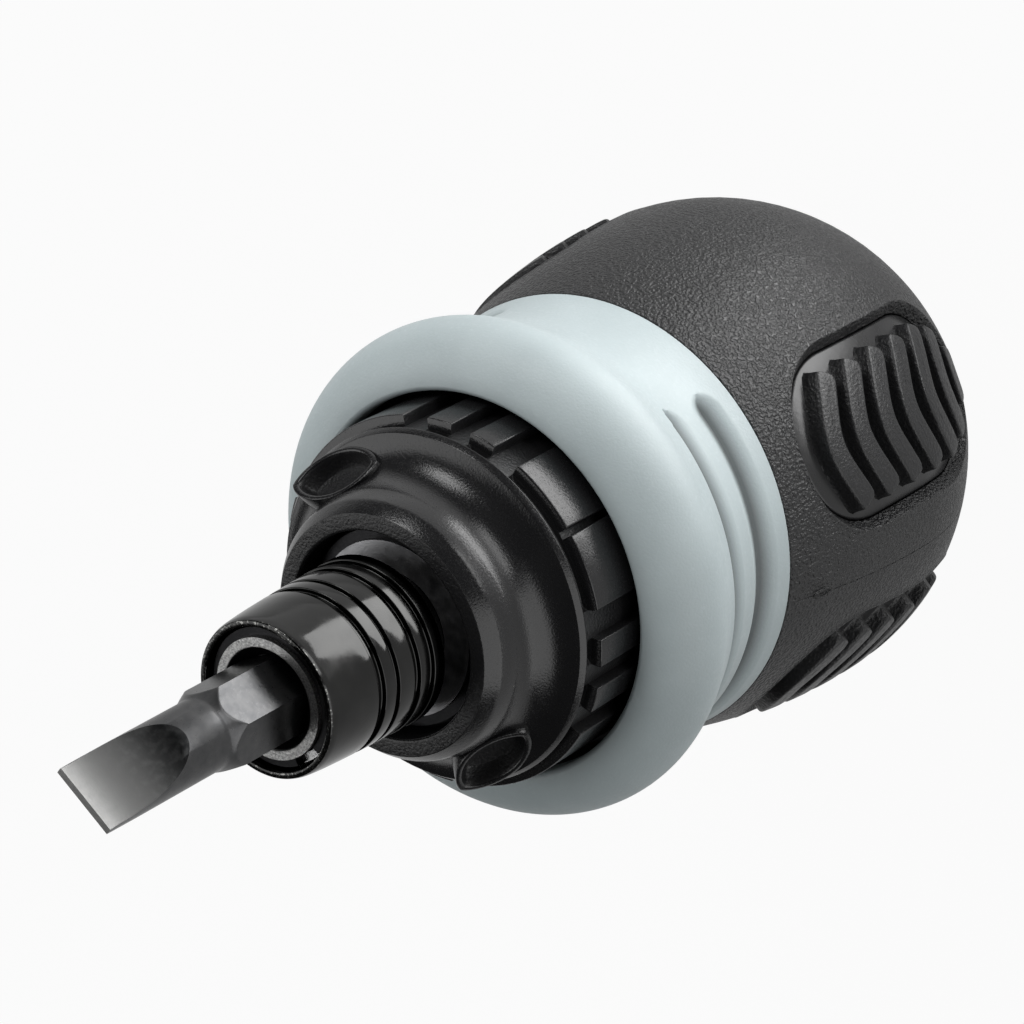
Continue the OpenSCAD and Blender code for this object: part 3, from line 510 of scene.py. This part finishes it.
def front_grip():
    bm = bmesh.new()
    rear = seam_z + seam_lip
    heights = [rear + (groove_top_z - rear) * k / groove_rows for k in range(groove_rows + 1)]
    heights += [47.5, 47.9, 48.4, 48.9, bead_join_z]
    outside = [(waist_at(z), z) for z in heights]
    first = degrees(atan2(bead_join_z - bead_z, waist_at(bead_join_z) - bead_mid_r))
    for k in range(1, bead_steps + 1):
        a = radians(first + (bead_end - first) * k / bead_steps)
        outside.append((bead_mid_r + bead_round * cos(a), bead_z + bead_round * sin(a)))
    inside = rounded([(*outside[-1], 0), (mouth_r, mouth_z + 0.02, 0.5), (mouth_r, barrel_z, 0),
                      (barrel_r, barrel_z, 0), (barrel_r, seam_z, 0), (seam_r, seam_z, 0.13),
                      (*outside[0], 0)])[1:]
    spun(bm, outside + inside, ring_steps)
    # Depth of the finger grooves, kept for the painted shade in them.
    painted_groove_shade = bm.verts.layers.float.new("painted_groove_shade")
    for v in bm.verts:
        r = hypot(v.co.x, v.co.y)
        if r > waist_r - 0.5 and v.co.z < groove_top_z + 0.01:
            turn = abs((degrees(atan2(v.co.y, v.co.x)) + 90) % 180 - 90)
            cut = groove_depth(v.co.z, radians(turn - groove_arc / 2) * r + groove_tip)
            v.co.x, v.co.y = v.co.x * (1 - cut / r), v.co.y * (1 - cut / r)
            v[painted_groove_shade] = cut
    return piece("front_grip_ring", bm, [ring_rubber()], "handle", "grip_grey", "front_grip")


front_grip()


# Ratchet housing, cover plate and their fasteners: zinc castings in the core's pocket, held by
# screws, with a bronze bush and washer for the spindle. Pins and leaf springs are bright steel.
def cast_zinc():
    finish, tree, shader, place = new_finish("cast_zinc", (0.36, 0.36, 0.37), 0.42, metallic=1.0)
    cloud = noise(tree, place, 1.2, 4)
    tone = blend(tree, cloud, (0.28, 0.28, 0.29), (0.42, 0.42, 0.43))
    tree.links.new(tone, shader.inputs["Base Color"])
    tree.links.new(spread(tree, cloud, 0.3, 0.7, 0.36, 0.52), shader.inputs["Roughness"])
    emboss(tree, shader, noise(tree, place, 0.25, 3), 0.015)
    return finish


def spring_steel():
    finish, tree, shader, place = new_finish("spring_steel", (0.62, 0.62, 0.63), 0.24, metallic=1.0)
    cloud = noise(tree, place, 0.5, 3)
    tone = blend(tree, cloud, (0.52, 0.52, 0.53), (0.7, 0.7, 0.7))
    tree.links.new(tone, shader.inputs["Base Color"])
    tree.links.new(spread(tree, cloud, 0.3, 0.7, 0.18, 0.34), shader.inputs["Roughness"])
    emboss(tree, shader, noise(tree, place, 0.15, 2), 0.006)
    return finish


def bush_bronze():
    finish, tree, shader, place = new_finish("bush_bronze", (0.45, 0.27, 0.11), 0.4, metallic=1.0)
    cloud = noise(tree, place, 0.6, 4)
    tone = blend(tree, cloud, (0.36, 0.21, 0.08), (0.52, 0.33, 0.14))
    tree.links.new(tone, shader.inputs["Base Color"])
    emboss(tree, shader, noise(tree, place, 0.12, 2), 0.02)
    return finish


zinc_finish, spring_finish, bronze_finish = cast_zinc(), spring_steel(), bush_bronze()
dress(zinc_finish, "ratchet_housing", "front_plate")
dress(spring_finish, "housing_screws", "pawl_pins", "pawl_spring_a", "pawl_spring_b", "detent_spring")
dress(bronze_finish, "spindle_bush", "thrust_washer")


# Gear, pawls and the circlip on the hub: hardened steel, black from oil. The pawls click between
# the cover plate and the housing's base, and the circlip holds the selector.
def hardened_steel():
    finish, tree, shader, place = new_finish("hardened_steel", (0.06, 0.06, 0.065), 0.3, metallic=1.0)
    cloud = noise(tree, place, 1.5, 4)
    tone = blend(tree, cloud, (0.012, 0.012, 0.013), (0.03, 0.03, 0.031))
    tree.links.new(tone, shader.inputs["Base Color"])
    emboss(tree, shader, noise(tree, place, 0.2, 3), 0.008)
    return finish


hardened_finish = hardened_steel()
dress(hardened_finish, "ratchet_gear", "pawl_a", "pawl_b", "selector_clip")


# Selector: a black semi-gloss moulding that turns on the plate's hub. A flared nose ends in a
# rim; behind it the drum has finger lugs in pairs and longer lands, with a slot before each,
# and two pointed ears with pockets stand on the flare.
nose_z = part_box("selector_ring")[1].z / MM
drum_rear_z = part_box("selector_ring")[0].z / MM
nose_hole_r = 8.84
nose_r = 11.5
nose_len = 2.4
nose_lip = 3.1
flange_bore_r = 7.55
flange_t = 1.6
hub_bore_r = 9.2
hollow_r = 13.9
hollow_front_z = 60.8
hollow_rear_z = 54.0
rear_bore_r = 13.45
flare_round = 4.1
flare_steps = 18
rim_r = 14.9
rim_h = 0.6
rim_slot = 0.8
slot_depth = 0.45
slot_fade = 1.5
drum_r = 15.0
lug_h = 1.0
lug_arc = 8.6
lug_turn = 7.8
land_arc = 48
land_notch = 0.6
drum_steps = 360
flare_top_z = nose_z - nose_len
flare_foot_z = flare_top_z - sqrt(flare_round ** 2 - (nose_r + flare_round - rim_r) ** 2)
rim_z = flare_foot_z - rim_h
lug_front_z = rim_z - rim_slot
flange_top = nose_z - nose_lip
ear_len = 8.6
ear_w = 5.0
ear_h = 0.1
ear_turn = 135
ear_rise = 15
ear_root = 2.4
ear_point = 1.4
ear_cover = 0.25
ear_slope = atan2(rim_r - nose_r, flare_top_z - flare_foot_z)
ear_mid = (nose_r + rim_r) / 2, (flare_top_z + flare_foot_z) / 2
# Section of an ear: how far inside its outline, and how far under its top
ear_wall = ((0, ear_root), (0, 0.16), (0.05, 0.05), (0.16, 0), (0.34, 0), (0.44, 0.05), (0.5, 0.16))
ear_pocket = ((0.5, 0.16), (0.58, 0.5), (0.72, 1.3), (0.95, 1.62), (1.4, 1.7))


def selector_plastic(name, grain, relief, roughness, specular=0.5):
    finish, tree, shader, place = new_finish(name, (0.012, 0.012, 0.013), roughness, specular=specular)
    tone = blend(tree, noise(tree, place, 3), (0.005, 0.005, 0.0055), (0.009, 0.009, 0.0095))
    tree.links.new(dust(tree, place, tone, 2.4), shader.inputs["Base Color"])
    peel = noise(tree, place, grain, 1.5)
    gloss = spread(tree, peel, 0.3, 0.7, roughness - 0.05, roughness + 0.07)
    tree.links.new(gloss, shader.inputs["Roughness"])
    emboss(tree, shader, peel, relief)
    emboss(tree, shader, noise(tree, place, 0.9, 2), 0.008)
    return finish


def lug_sectors():
    """Angles of the lugs and lands, from and to."""
    for quarter in range(0, 360, 90):
        for middle in (quarter - lug_turn, quarter + lug_turn):
            yield middle - lug_arc / 2, middle + lug_arc / 2
        yield quarter + 45 - land_arc / 2, quarter + 45 + land_arc / 2


def inside_sector(turn):
    """How many degrees an angle lies inside a lug or land, or 0 beside them."""
    return max((min((turn - start) % 360, (end - turn) % 360) for start, end in lug_sectors()
                if (turn - start) % 360 < end - start), default=0)


def ease(x):
    """Smooth step from 0 to 1."""
    x = min(max(x, 0), 1)
    return x * x * (3 - 2 * x)


def selector_body(bm):
    """The round body, with a slot in front of each lug and land."""
    flare = []
    first = atan2(flare_foot_z - flare_top_z, rim_r - nose_r - flare_round)
    for k in range(1, flare_steps + 1):
        a = first + (-pi - first) * k / flare_steps
        flare.append((nose_r + flare_round + flare_round * cos(a), flare_top_z + flare_round * sin(a)))
    slot_r = drum_r - slot_depth
    outside = rounded([(rear_bore_r, drum_rear_z, 0), (drum_r, drum_rear_z, 0.3), (drum_r, lug_front_z, 0),
                       (slot_r, lug_front_z + 0.02, 0.1), (slot_r, rim_z - 0.02, 0.1),
                       (rim_r + 0.4, rim_z, 0.1), (rim_r, flare_foot_z, 0.12), (*flare[0], 0)])[:-1]
    flange_rear = flange_top - flange_t
    nose = rounded([(*flare[-1], 0), (nose_r - 0.36, nose_z - 1.15, 1.1), (nose_r - 1.2, nose_z, 0.12),
                    (nose_hole_r, nose_z, 0.25), (nose_hole_r, flange_top, 0.3),
                    (flange_bore_r, flange_top, 0), (flange_bore_r, flange_rear, 0),
                    (hub_bore_r, flange_rear, 0), (hub_bore_r, hollow_front_z, 0),
                    (hollow_r, hollow_front_z, 0), (hollow_r, hollow_rear_z, 0),
                    (rear_bore_r, hollow_rear_z, 0), (rear_bore_r, drum_rear_z, 0)])[1:]
    spun(bm, outside + flare + nose, drum_steps)
    for face in bm.faces:
        drum = all(v.co.z < rim_z and drum_r - 1 < v.co.xy.length < drum_r + 0.05 for v in face.verts)
        tip = all(v.co.z > nose_z - 0.05 for v in face.verts)
        face.material_index = int(drum or tip)
    for v in bm.verts:
        r = hypot(v.co.x, v.co.y)
        if lug_front_z < v.co.z < rim_z and slot_r - 0.01 < r < drum_r:
            inside = inside_sector(degrees(atan2(v.co.y, v.co.x)) % 360)
            lift = (drum_r - r) * (1 - ease(inside / slot_fade))
            v.co.x, v.co.y = v.co.x * (1 + lift / r), v.co.y * (1 + lift / r)


def drum_block(bm, start, end):
    """Raised block on the drum with soft edges and grained side walls."""
    box = bmesh.ops.create_cube(bm, size=1)["verts"]
    arc = radians(end - start) * drum_r
    bmesh.ops.scale(bm, verts=box, vec=(2 * lug_h, arc, lug_front_z - drum_rear_z))
    edges = list({e for v in box for e in v.link_edges if all(w.co.x > 0 for w in e.verts)})
    made = bmesh.ops.bevel(bm, geom=edges, offset=0.16, segments=3, profile=0.5, affect="EDGES",
                           material=-1)
    faces = {f for v in box + made["verts"] if v.is_valid for f in v.link_faces}
    whole = list(faces)
    whole += {e for f in faces for e in f.edges}
    whole += {v for f in faces for v in f.verts}
    cuts = max(2, round((end - start) / 3))
    for k in range(1, cuts):
        cut = bmesh.ops.bisect_plane(bm, geom=whole, plane_co=(0, arc * (k / cuts - 0.5), 0),
                                     plane_no=(0, 1, 0))
        whole = cut["geom"]
    for face in (g for g in whole if isinstance(g, bmesh.types.BMFace)):
        face.normal_update()
        face.material_index = 1 if abs(face.normal.y) > 0.9 else 0
    for v in {g for g in whole if isinstance(g, bmesh.types.BMVert)}:
        turn = radians((start + end) / 2) + v.co.y / drum_r
        r = drum_r + v.co.x
        v.co = r * cos(turn), r * sin(turn), v.co.z + (lug_front_z + drum_rear_z) / 2


def ear_reach(along, inset):
    """Half the width of an ear's pointed outline at a distance along it."""
    share = min(abs(along) / (ear_len / 2 - ear_point * inset), 1)
    return (ear_w / 2 - inset) * (1 - share * share) ** 0.7


def ear_loop(inset, height, steps=22):
    """Pointed loop in an ear's own plane, inside its outline, at a height above its middle."""
    loop = []
    for side in (1, -1):
        for k in range(steps):
            along = side * (ear_len / 2 - ear_point * inset) * cos(pi * k / steps)
            loop.append(Vector((side * ear_reach(along, inset), along, height)))
    return loop


def ear(bm, turn, rise):
    """A pointed ear with a pocket on the flare, which is cut away under it."""
    lean = (Matrix.Rotation(radians(turn), 4, "Z") @ Matrix.Translation((ear_mid[0], 0, ear_mid[1]))
            @ Matrix.Rotation(pi / 2 - ear_slope, 4, "Y") @ Matrix.Rotation(radians(rise), 4, "X"))
    level = lean.inverted()
    covered = []
    for face in bm.faces:
        middle = face.calc_center_median()
        spot = level @ middle
        if middle.z > flare_foot_z and abs(spot.z) < 2 and abs(spot.x) < ear_reach(spot.y, ear_cover):
            covered.append(face)
    bmesh.ops.delete(bm, geom=covered, context="FACES")
    before, old_faces = set(bm.verts), set(bm.faces)
    raise_wall(bm, [ear_loop(inset, ear_h - under) for inset, under in ear_wall])
    wall_faces = set(bm.faces)
    bm.faces.new(raise_wall(bm, [ear_loop(inset, ear_h - under) for inset, under in ear_pocket]))
    for face in bm.faces:
        if face not in old_faces:
            face.material_index = int(face not in wall_faces)
    bmesh.ops.transform(bm, verts=[v for v in bm.verts if v not in before], matrix=lean)


def selector():
    bm = bmesh.new()
    selector_body(bm)
    for start, end in lug_sectors():
        middle = (start + end) / 2
        if end - start < land_arc or 90 < middle % 180:
            drum_block(bm, start, end)
        else:
            gap = degrees(land_notch / 2 / drum_r)
            drum_block(bm, start, middle - gap)
            drum_block(bm, middle + gap, end)
    ear(bm, ear_turn, ear_rise)
    ear(bm, ear_turn + 180, -ear_rise)
    for face in bm.faces:
        middle = face.calc_center_median()
        if flange_top - 2 < middle.z < nose_z - 0.3 and middle.xy.length < nose_hole_r + 0.1:
            face.material_index = 2
    finishes = [selector_plastic("selector_plastic", 0.16, 0.016, 0.22),
                selector_plastic("grained_plastic", 0.22, 0.06, 0.4),
                selector_plastic("inner_plastic", 0.3, 0.02, 0.5, specular=0.12)]
    return piece("selector_nose", bm, finishes, "selector", "selector_black", "selector_ring")


selector()


# Spindle: a turned steel tube, black but for its plated front end, with a hex socket for the bit.
# A washer and an open clip at its front hold the chuck's spring, a clip at its tail holds it in
# the housing, and a steel ball in its wall locks the bit.
def height_of(tree, place):
    """Height of a point along the tool."""
    return add(tree, "ShaderNodeSeparateXYZ", {"Vector": place}).outputs["Z"]


def plated_steel():
    finish, tree, shader, place = new_finish("plated_steel", (0.6, 0.6, 0.6), 0.38, metallic=1.0)
    grit = noise(tree, place, 0.16, 3, 0.7)
    tone = blend(tree, spread(tree, grit, 0.35, 0.65, 0, 1), (0.22, 0.22, 0.22), (0.55, 0.55, 0.54))
    flat = add(tree, "ShaderNodeVectorMath", {0: place, 1: (1, 1, 0)}, operation="MULTIPLY")
    radius = add(tree, "ShaderNodeVectorMath", {0: flat.outputs["Vector"]}, operation="LENGTH")
    rim = spread(tree, radius.outputs["Value"], 4.15 * MM, 4.4 * MM, 0, 1)
    end_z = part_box("spindle")[1].z
    front = spread(tree, height_of(tree, place), end_z - 0.9 * MM, end_z - 0.3 * MM, 0, 1)
    tone = blend(tree, times(tree, rim, front), (0.012, 0.012, 0.012), tone)
    tree.links.new(tone, shader.inputs["Base Color"])
    tree.links.new(spread(tree, grit, 0.3, 0.7, 0.48, 0.28), shader.inputs["Roughness"])
    emboss(tree, shader, grit, 0.03)
    return finish


dress(plated_steel(), "spindle")
dress(spring_finish, "spindle_clip", "spring_washer", "lock_ball")
dress(hardened_finish, "sleeve_clip")


# Chuck spring: round wire wound in two and a half turns on the spindle. It pushes the sleeve
# back from the washer, and is pressed flatter as the sleeve is pulled forward, though here it is built at
# one length only.
coil_low, coil_high = (corner.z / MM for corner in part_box("chuck_spring"))
wire_d = 0.6
coil_r = 5.525
coil_turns = 2.5


def chuck_spring():
    bm = bmesh.new()
    ring = bmesh.ops.create_circle(bm, cap_ends=True, radius=wire_d / 2, segments=12)["verts"]
    bmesh.ops.rotate(bm, verts=ring, cent=(0, 0, 0), matrix=Matrix.Rotation(pi / 2, 3, "X"))
    bmesh.ops.translate(bm, verts=ring, vec=(coil_r, 0, coil_low + wire_d / 2 + 0.02))
    steps = round(48 * coil_turns)
    rise = (coil_high - coil_low - wire_d - 0.04) / steps
    bmesh.ops.spin(bm, geom=bm.faces[:], cent=(0, 0, 0), axis=(0, 0, 1), dvec=(0, 0, rise),
                   angle=2 * pi * coil_turns, steps=steps)
    return piece("chuck_spring_wound", bm, [spring_finish], "drive", "bright_steel", "chuck_spring")


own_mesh(chuck_spring())


# Chuck sleeve: a turned steel sleeve with a glossy black plating, chipped along its front rim. It
# slides on the spindle and has four grip grooves with thin ridges between them.
sleeve_z, sleeve_front_z = (corner.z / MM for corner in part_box("chuck_sleeve"))
sleeve_len = sleeve_front_z - sleeve_z
sleeve_front_r = 6.5
sleeve_r = 7.25
sleeve_groove = 0.4
sleeve_steps = 160
# Inside, from the rear: a bore, a ramp for the lock ball, a land under the spring, and a chamber
sleeve_bore_r = 5.87
land_r = 5.15
land_front_z = 75.088
land_rear_z = land_front_z - 1.0
ramp_rear_z = land_rear_z - 3.6
chamber_r = 6.0
# Grip grooves: distance from the front rim, and width
sleeve_grooves = ((5.35, 0.8), (7.4, 0.45), (9.65, 0.7), (11.45, 0.6))


def sleeve_at(d):
    return sleeve_front_r + (sleeve_r - sleeve_front_r) * sqrt(d / sleeve_len)


def black_plating():
    finish, tree, shader, place = new_finish("black_plating", (0.1, 0.1, 0.1), 0.14, metallic=1.0)
    smear = noise(tree, place, 2.2, 4)
    tree.links.new(spread(tree, smear, 0.35, 0.7, 0.08, 0.2), shader.inputs["Roughness"])
    tone = blend(tree, smear, (0.03, 0.03, 0.03), (0.05, 0.05, 0.049))
    height = height_of(tree, place)
    rim = spread(tree, height, (sleeve_front_z - 0.22) * MM, (sleeve_front_z - 0.06) * MM, 0, 1)
    chips = spread(tree, noise(tree, place, 0.22, 3), 0.55, 0.65, 0, 0.5)
    tone = blend(tree, times(tree, rim, chips), dust(tree, place, tone, 2.0), (0.42, 0.42, 0.4))
    tree.links.new(tone, shader.inputs["Base Color"])
    emboss(tree, shader, noise(tree, place, 0.9, 2), 0.006)
    return finish


def chuck_sleeve():
    bm = bmesh.new()
    corners = [(sleeve_bore_r, sleeve_z, 0.1), (sleeve_r, sleeve_z, 0.15)]
    for start, width in reversed(sleeve_grooves):
        floor = sleeve_at(start + width / 2) - sleeve_groove
        rear, front = start + width, start
        rear_z, front_z = sleeve_front_z - rear, sleeve_front_z - front
        corners += [(sleeve_at(rear), rear_z, 0.1), (floor, rear_z, 0.1), (floor, front_z, 0.1),
                    (sleeve_at(front), front_z, 0.1)]
    corners += [(sleeve_at(d), sleeve_front_z - d, 0) for d in (4, 3, 2, 1.2, 0.7, 0.4)]
    corners += [(sleeve_front_r, sleeve_front_z, 0.14), (chamber_r, sleeve_front_z, 0.12),
                (chamber_r, land_front_z, 0), (land_r, land_front_z, 0), (land_r, land_rear_z, 0),
                (sleeve_bore_r, ramp_rear_z, 0)]
    line = rounded(corners)
    spun(bm, line + line[:1], sleeve_steps)
    return piece("chuck_sleeve_turned", bm, [black_plating()], "sleeve", "sleeve_black", "chuck_sleeve")


chuck_sleeve()


# Slotted bit: a gunmetal hex shank, its front corners turned to a taper, a turned neck, and a
# blade hollow-ground from both sides to a flat tip.
bit_rear_z, bit_tip_z = (corner.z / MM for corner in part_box("slotted_bit"))
bit_af = 6.35
neck_r = 2.95
neck_len = 13.0
hex_taper = 1.6
grind_len = 9.2
grind_rows = 14
tip_t = 0.6
blade_turn = 150
hex_front_z = bit_tip_z - neck_len
hex_corner_r = bit_af / 2 / cos(pi / 6)
grind_round = (grind_len ** 2 + (neck_r - tip_t / 2) ** 2) / (2 * (neck_r - tip_t / 2))


def drawn_across(tree, place, share):
    """Coordinates that draw a pattern out across the tool, as turning and grinding do."""
    values = {"Vector": place, "Scale": (share, share, 1)}
    return add(tree, "ShaderNodeMapping", values).outputs["Vector"]


def bit_steel():
    finish, tree, shader, place = new_finish("bit_steel", (0.12, 0.12, 0.12), 0.3, metallic=1.0)
    cloud = noise(tree, place, 0.8, 4)
    tone = blend(tree, spread(tree, cloud, 0.3, 0.7, 0, 1), (0.066, 0.067, 0.069), (0.088, 0.088, 0.089))
    tree.links.new(tone, shader.inputs["Base Color"])
    gloss = spread(tree, noise(tree, place, 0.25, 4), 0.3, 0.7, 0.27, 0.33)
    tree.links.new(gloss, shader.inputs["Roughness"])
    emboss(tree, shader, noise(tree, drawn_across(tree, place, 0.05), 0.1, 2), 0.002)
    emboss(tree, shader, noise(tree, place, 0.3, 2), 0.0007)
    return finish


def ground_steel():
    finish, tree, shader, place = new_finish("ground_steel", (0.2, 0.2, 0.2), 0.36, metallic=1.0)
    height = height_of(tree, place)
    # Painted shading: the ground faces are coloured from near-black where the grind starts to bright at
    # the tip.
    along = spread(tree, height, (bit_tip_z - grind_len) * MM, bit_tip_z * MM, 0, 1)
    painted_grind_shading = add(tree, "ShaderNodeMath", {0: along, 1: 1.7}, operation="POWER").outputs[0]
    cloud = noise(tree, place, 0.6, 5)
    tone = blend(tree, painted_grind_shading, (0.012, 0.0125, 0.013), (0.18, 0.18, 0.177))
    tone = blend(tree, spread(tree, cloud, 0.45, 0.75, 0, 0.25), tone, (0.1, 0.1, 0.1))
    tree.links.new(tone, shader.inputs["Base Color"])
    emboss(tree, shader, noise(tree, drawn_across(tree, place, 0.08), 0.06, 2), 0.005)
    emboss(tree, shader, noise(tree, place, 0.2, 2), 0.004)
    return finish


def bit_angles():
    """Angles round the bit, from the blade's edge, that meet its corners and the hex corners."""
    tip_edge = degrees(asin(tip_t / 2 / neck_r))
    marks = ((tip_edge, 60, 12), (60, 120, 16), (120, 180 - tip_edge, 12),
             (180 - tip_edge, 180 + tip_edge, 6))
    half = [start + (end - start) * k / steps for start, end, steps in marks for k in range(steps)]
    return [radians(a) for a in half + [a + 180 for a in half]]


def slotted_bit():
    bm = bmesh.new()
    angles = bit_angles()
    hex_r = [bit_af / 2 / cos((a % (pi / 3)) - pi / 6) for a in angles]
    steep = (hex_corner_r - neck_r) / hex_taper
    tapers = [hex_front_z - (r - neck_r) / steep for r in hex_r]
    loops = [[Vector((share * r * cos(a), share * r * sin(a), z)) for a, r in zip(angles, hex_r)]
             for share, z in ((0.9, bit_rear_z), (1, bit_rear_z + 0.4))]
    edge = ((-0.16, 0), (-0.06, 0.004), (0, 0.014), (0.06, 0.004 + 0.06 * steep), (0.16, 0.16 * steep))
    for ahead, under in edge:
        loops.append([Vector(((r - under) * cos(a), (r - under) * sin(a), z + ahead))
                      for a, r, z in zip(angles, hex_r, tapers)])
    for ahead, over in ((-0.15, 0.15 * steep), (0, 0.03), (0.2, 0)):
        loops.append([Vector(((neck_r + over) * cos(a), (neck_r + over) * sin(a), hex_front_z + ahead))
                      for a in angles])
    for k in range(grind_rows + 1):
        loop = []
        for a in angles:
            y = neck_r * abs(sin(a))
            side = 1 if sin(a) > 0 else -1
            reach = max(grind_round ** 2 - (tip_t / 2 + grind_round - y) ** 2, 0)
            fall = sqrt(reach) if y > tip_t / 2 + 1e-6 else 0
            drop = fall * (1 - k / grind_rows)
            ground = tip_t / 2 + grind_round - sqrt(grind_round ** 2 - drop ** 2)
            loop.append(Vector((neck_r * cos(a), side * min(y, ground), bit_tip_z - drop)))
        loops.append(loop)
    bm.faces.new(raise_wall(bm, loops))
    for face in bm.faces:
        middle = face.calc_center_median()
        ground = hex_front_z < middle.z < bit_tip_z - 1e-6 and middle.xy.length < neck_r - 0.02
        face.material_index = int(ground)
    base = [v for v in bm.verts if abs(v.co.z - bit_rear_z) < 1e-6]
    bmesh.ops.contextual_create(bm, geom=base)
    turned(bm, blade_turn)
    return piece("slotted_bit_ground", bm, [bit_steel(), ground_steel()], "bit", "bit_steel",
                 "slotted_bit")


slotted_bit()


# Studio: a white floor under the standing tool, a broad soft box from the side that the photo is
# lit from, weaker boxes round it, and the camera at the photo's place.
floor_white = 0.95
floor_shine = 0.5
floor_tone = 0.35
world_level = 0.04


def plain_floor():
    bm = bmesh.new()
    bmesh.ops.create_grid(bm, x_segments=1, y_segments=1, size=4)
    mesh = bpy.data.meshes.new("floor")
    bm.to_mesh(mesh)
    bm.free()
    floor = bpy.data.objects.new("floor", mesh)
    bpy.context.scene.collection.objects.link(floor)
    finish = bpy.data.materials.new("white_floor")
    finish.use_nodes = True
    tree = finish.node_tree
    tree.nodes.remove(tree.nodes["Principled BSDF"])
    ray = add(tree, "ShaderNodeLightPath", {})
    seen = times(tree, ray.outputs["Is Camera Ray"], floor_white)
    values = {0: ray.outputs["Is Glossy Ray"], 1: floor_shine, 2: seen}
    share = add(tree, "ShaderNodeMath", values, operation="MULTIPLY_ADD")
    matt = add(tree, "ShaderNodeBsdfDiffuse", {"Color": (floor_tone, floor_tone, floor_tone, 1)})
    white = add(tree, "ShaderNodeEmission", {"Color": (1, 1, 1, 1), "Strength": 1})
    mixed = add(tree, "ShaderNodeMixShader", {"Fac": share.outputs[0]})
    tree.links.new(matt.outputs[0], mixed.inputs[1])
    tree.links.new(white.outputs[0], mixed.inputs[2])
    tree.links.new(mixed.outputs[0], tree.nodes["Material Output"].inputs["Surface"])
    mesh.materials.append(finish)


def white_world(strength):
    world = bpy.data.worlds.new("white_world")
    bpy.context.scene.world = world
    world.use_nodes = True
    tree = world.node_tree
    ray = add(tree, "ShaderNodeLightPath", {})
    level = spread(tree, ray.outputs["Is Camera Ray"], 0, 1, strength, 1)
    tree.links.new(level, tree.nodes["Background"].inputs["Strength"])
    tree.nodes["Background"].inputs["Color"].default_value = (1, 1, 1, 1)


def soft_box(name, place, aim, size, power):
    lamp = bpy.data.lights.new(name, "AREA")
    lamp.shape = "RECTANGLE"
    lamp.size, lamp.size_y = size
    lamp.energy = power
    made = bpy.data.objects.new(name, lamp)
    made.location = place
    made.rotation_euler = (Vector(aim) - Vector(place)).to_track_quat("-Z", "Y").to_euler()
    made.visible_camera = False
    bpy.context.scene.collection.objects.link(made)
    return made


def photo_camera():
    camera = bpy.data.objects.new("camera", bpy.data.cameras.new("camera"))
    right = Vector((0.79691, 0.11294, -0.59345))
    up = Vector((-0.36253, 0.87522, -0.32025))
    turn = Matrix((right, up, right.cross(up))).transposed()
    camera.matrix_world = Matrix.Translation((0.15061, 0.15177, 0.28133)) @ turn.to_4x4()
    camera.data.lens = 133.61
    camera.data.sensor_width = 36
    camera.data.clip_start = 0.01
    bpy.context.scene.collection.objects.link(camera)
    bpy.context.scene.camera = camera


plain_floor()
white_world(world_level)
soft_box("back_box", (-0.14, 0.31, 0.20), (0, 0, 0.06), (0.46, 0.38), 0.92).visible_glossy = False
soft_box("flare_box", (-0.20, 0.38, 0.30), (0, 0, 0.06), (0.18, 0.16), 0.6)
soft_box("rim_box", (0.20, 0.32, 0.065), (0, 0, 0.06), (0.24, 0.12), 0.3)
soft_box("table_card", (-0.03, 0.18, 0.002), (-0.03, 0.18, 1), (0.34, 0.22), 0.10)
soft_box("low_box", (0.035, 0.082, 0.003), (0.035, 0.082, 1), (0.075, 0.09), 0.12)
soft_box("right_box", (0.55, -0.04, 0.20), (0, 0, 0.05), (0.7, 0.6), 2.2)
soft_box("left_box", (-0.42, -0.06, 0.50), (0, 0, 0.06), (0.55, 0.55), 1.6)
photo_camera()
bpy.context.scene.view_settings.view_transform = "Standard"
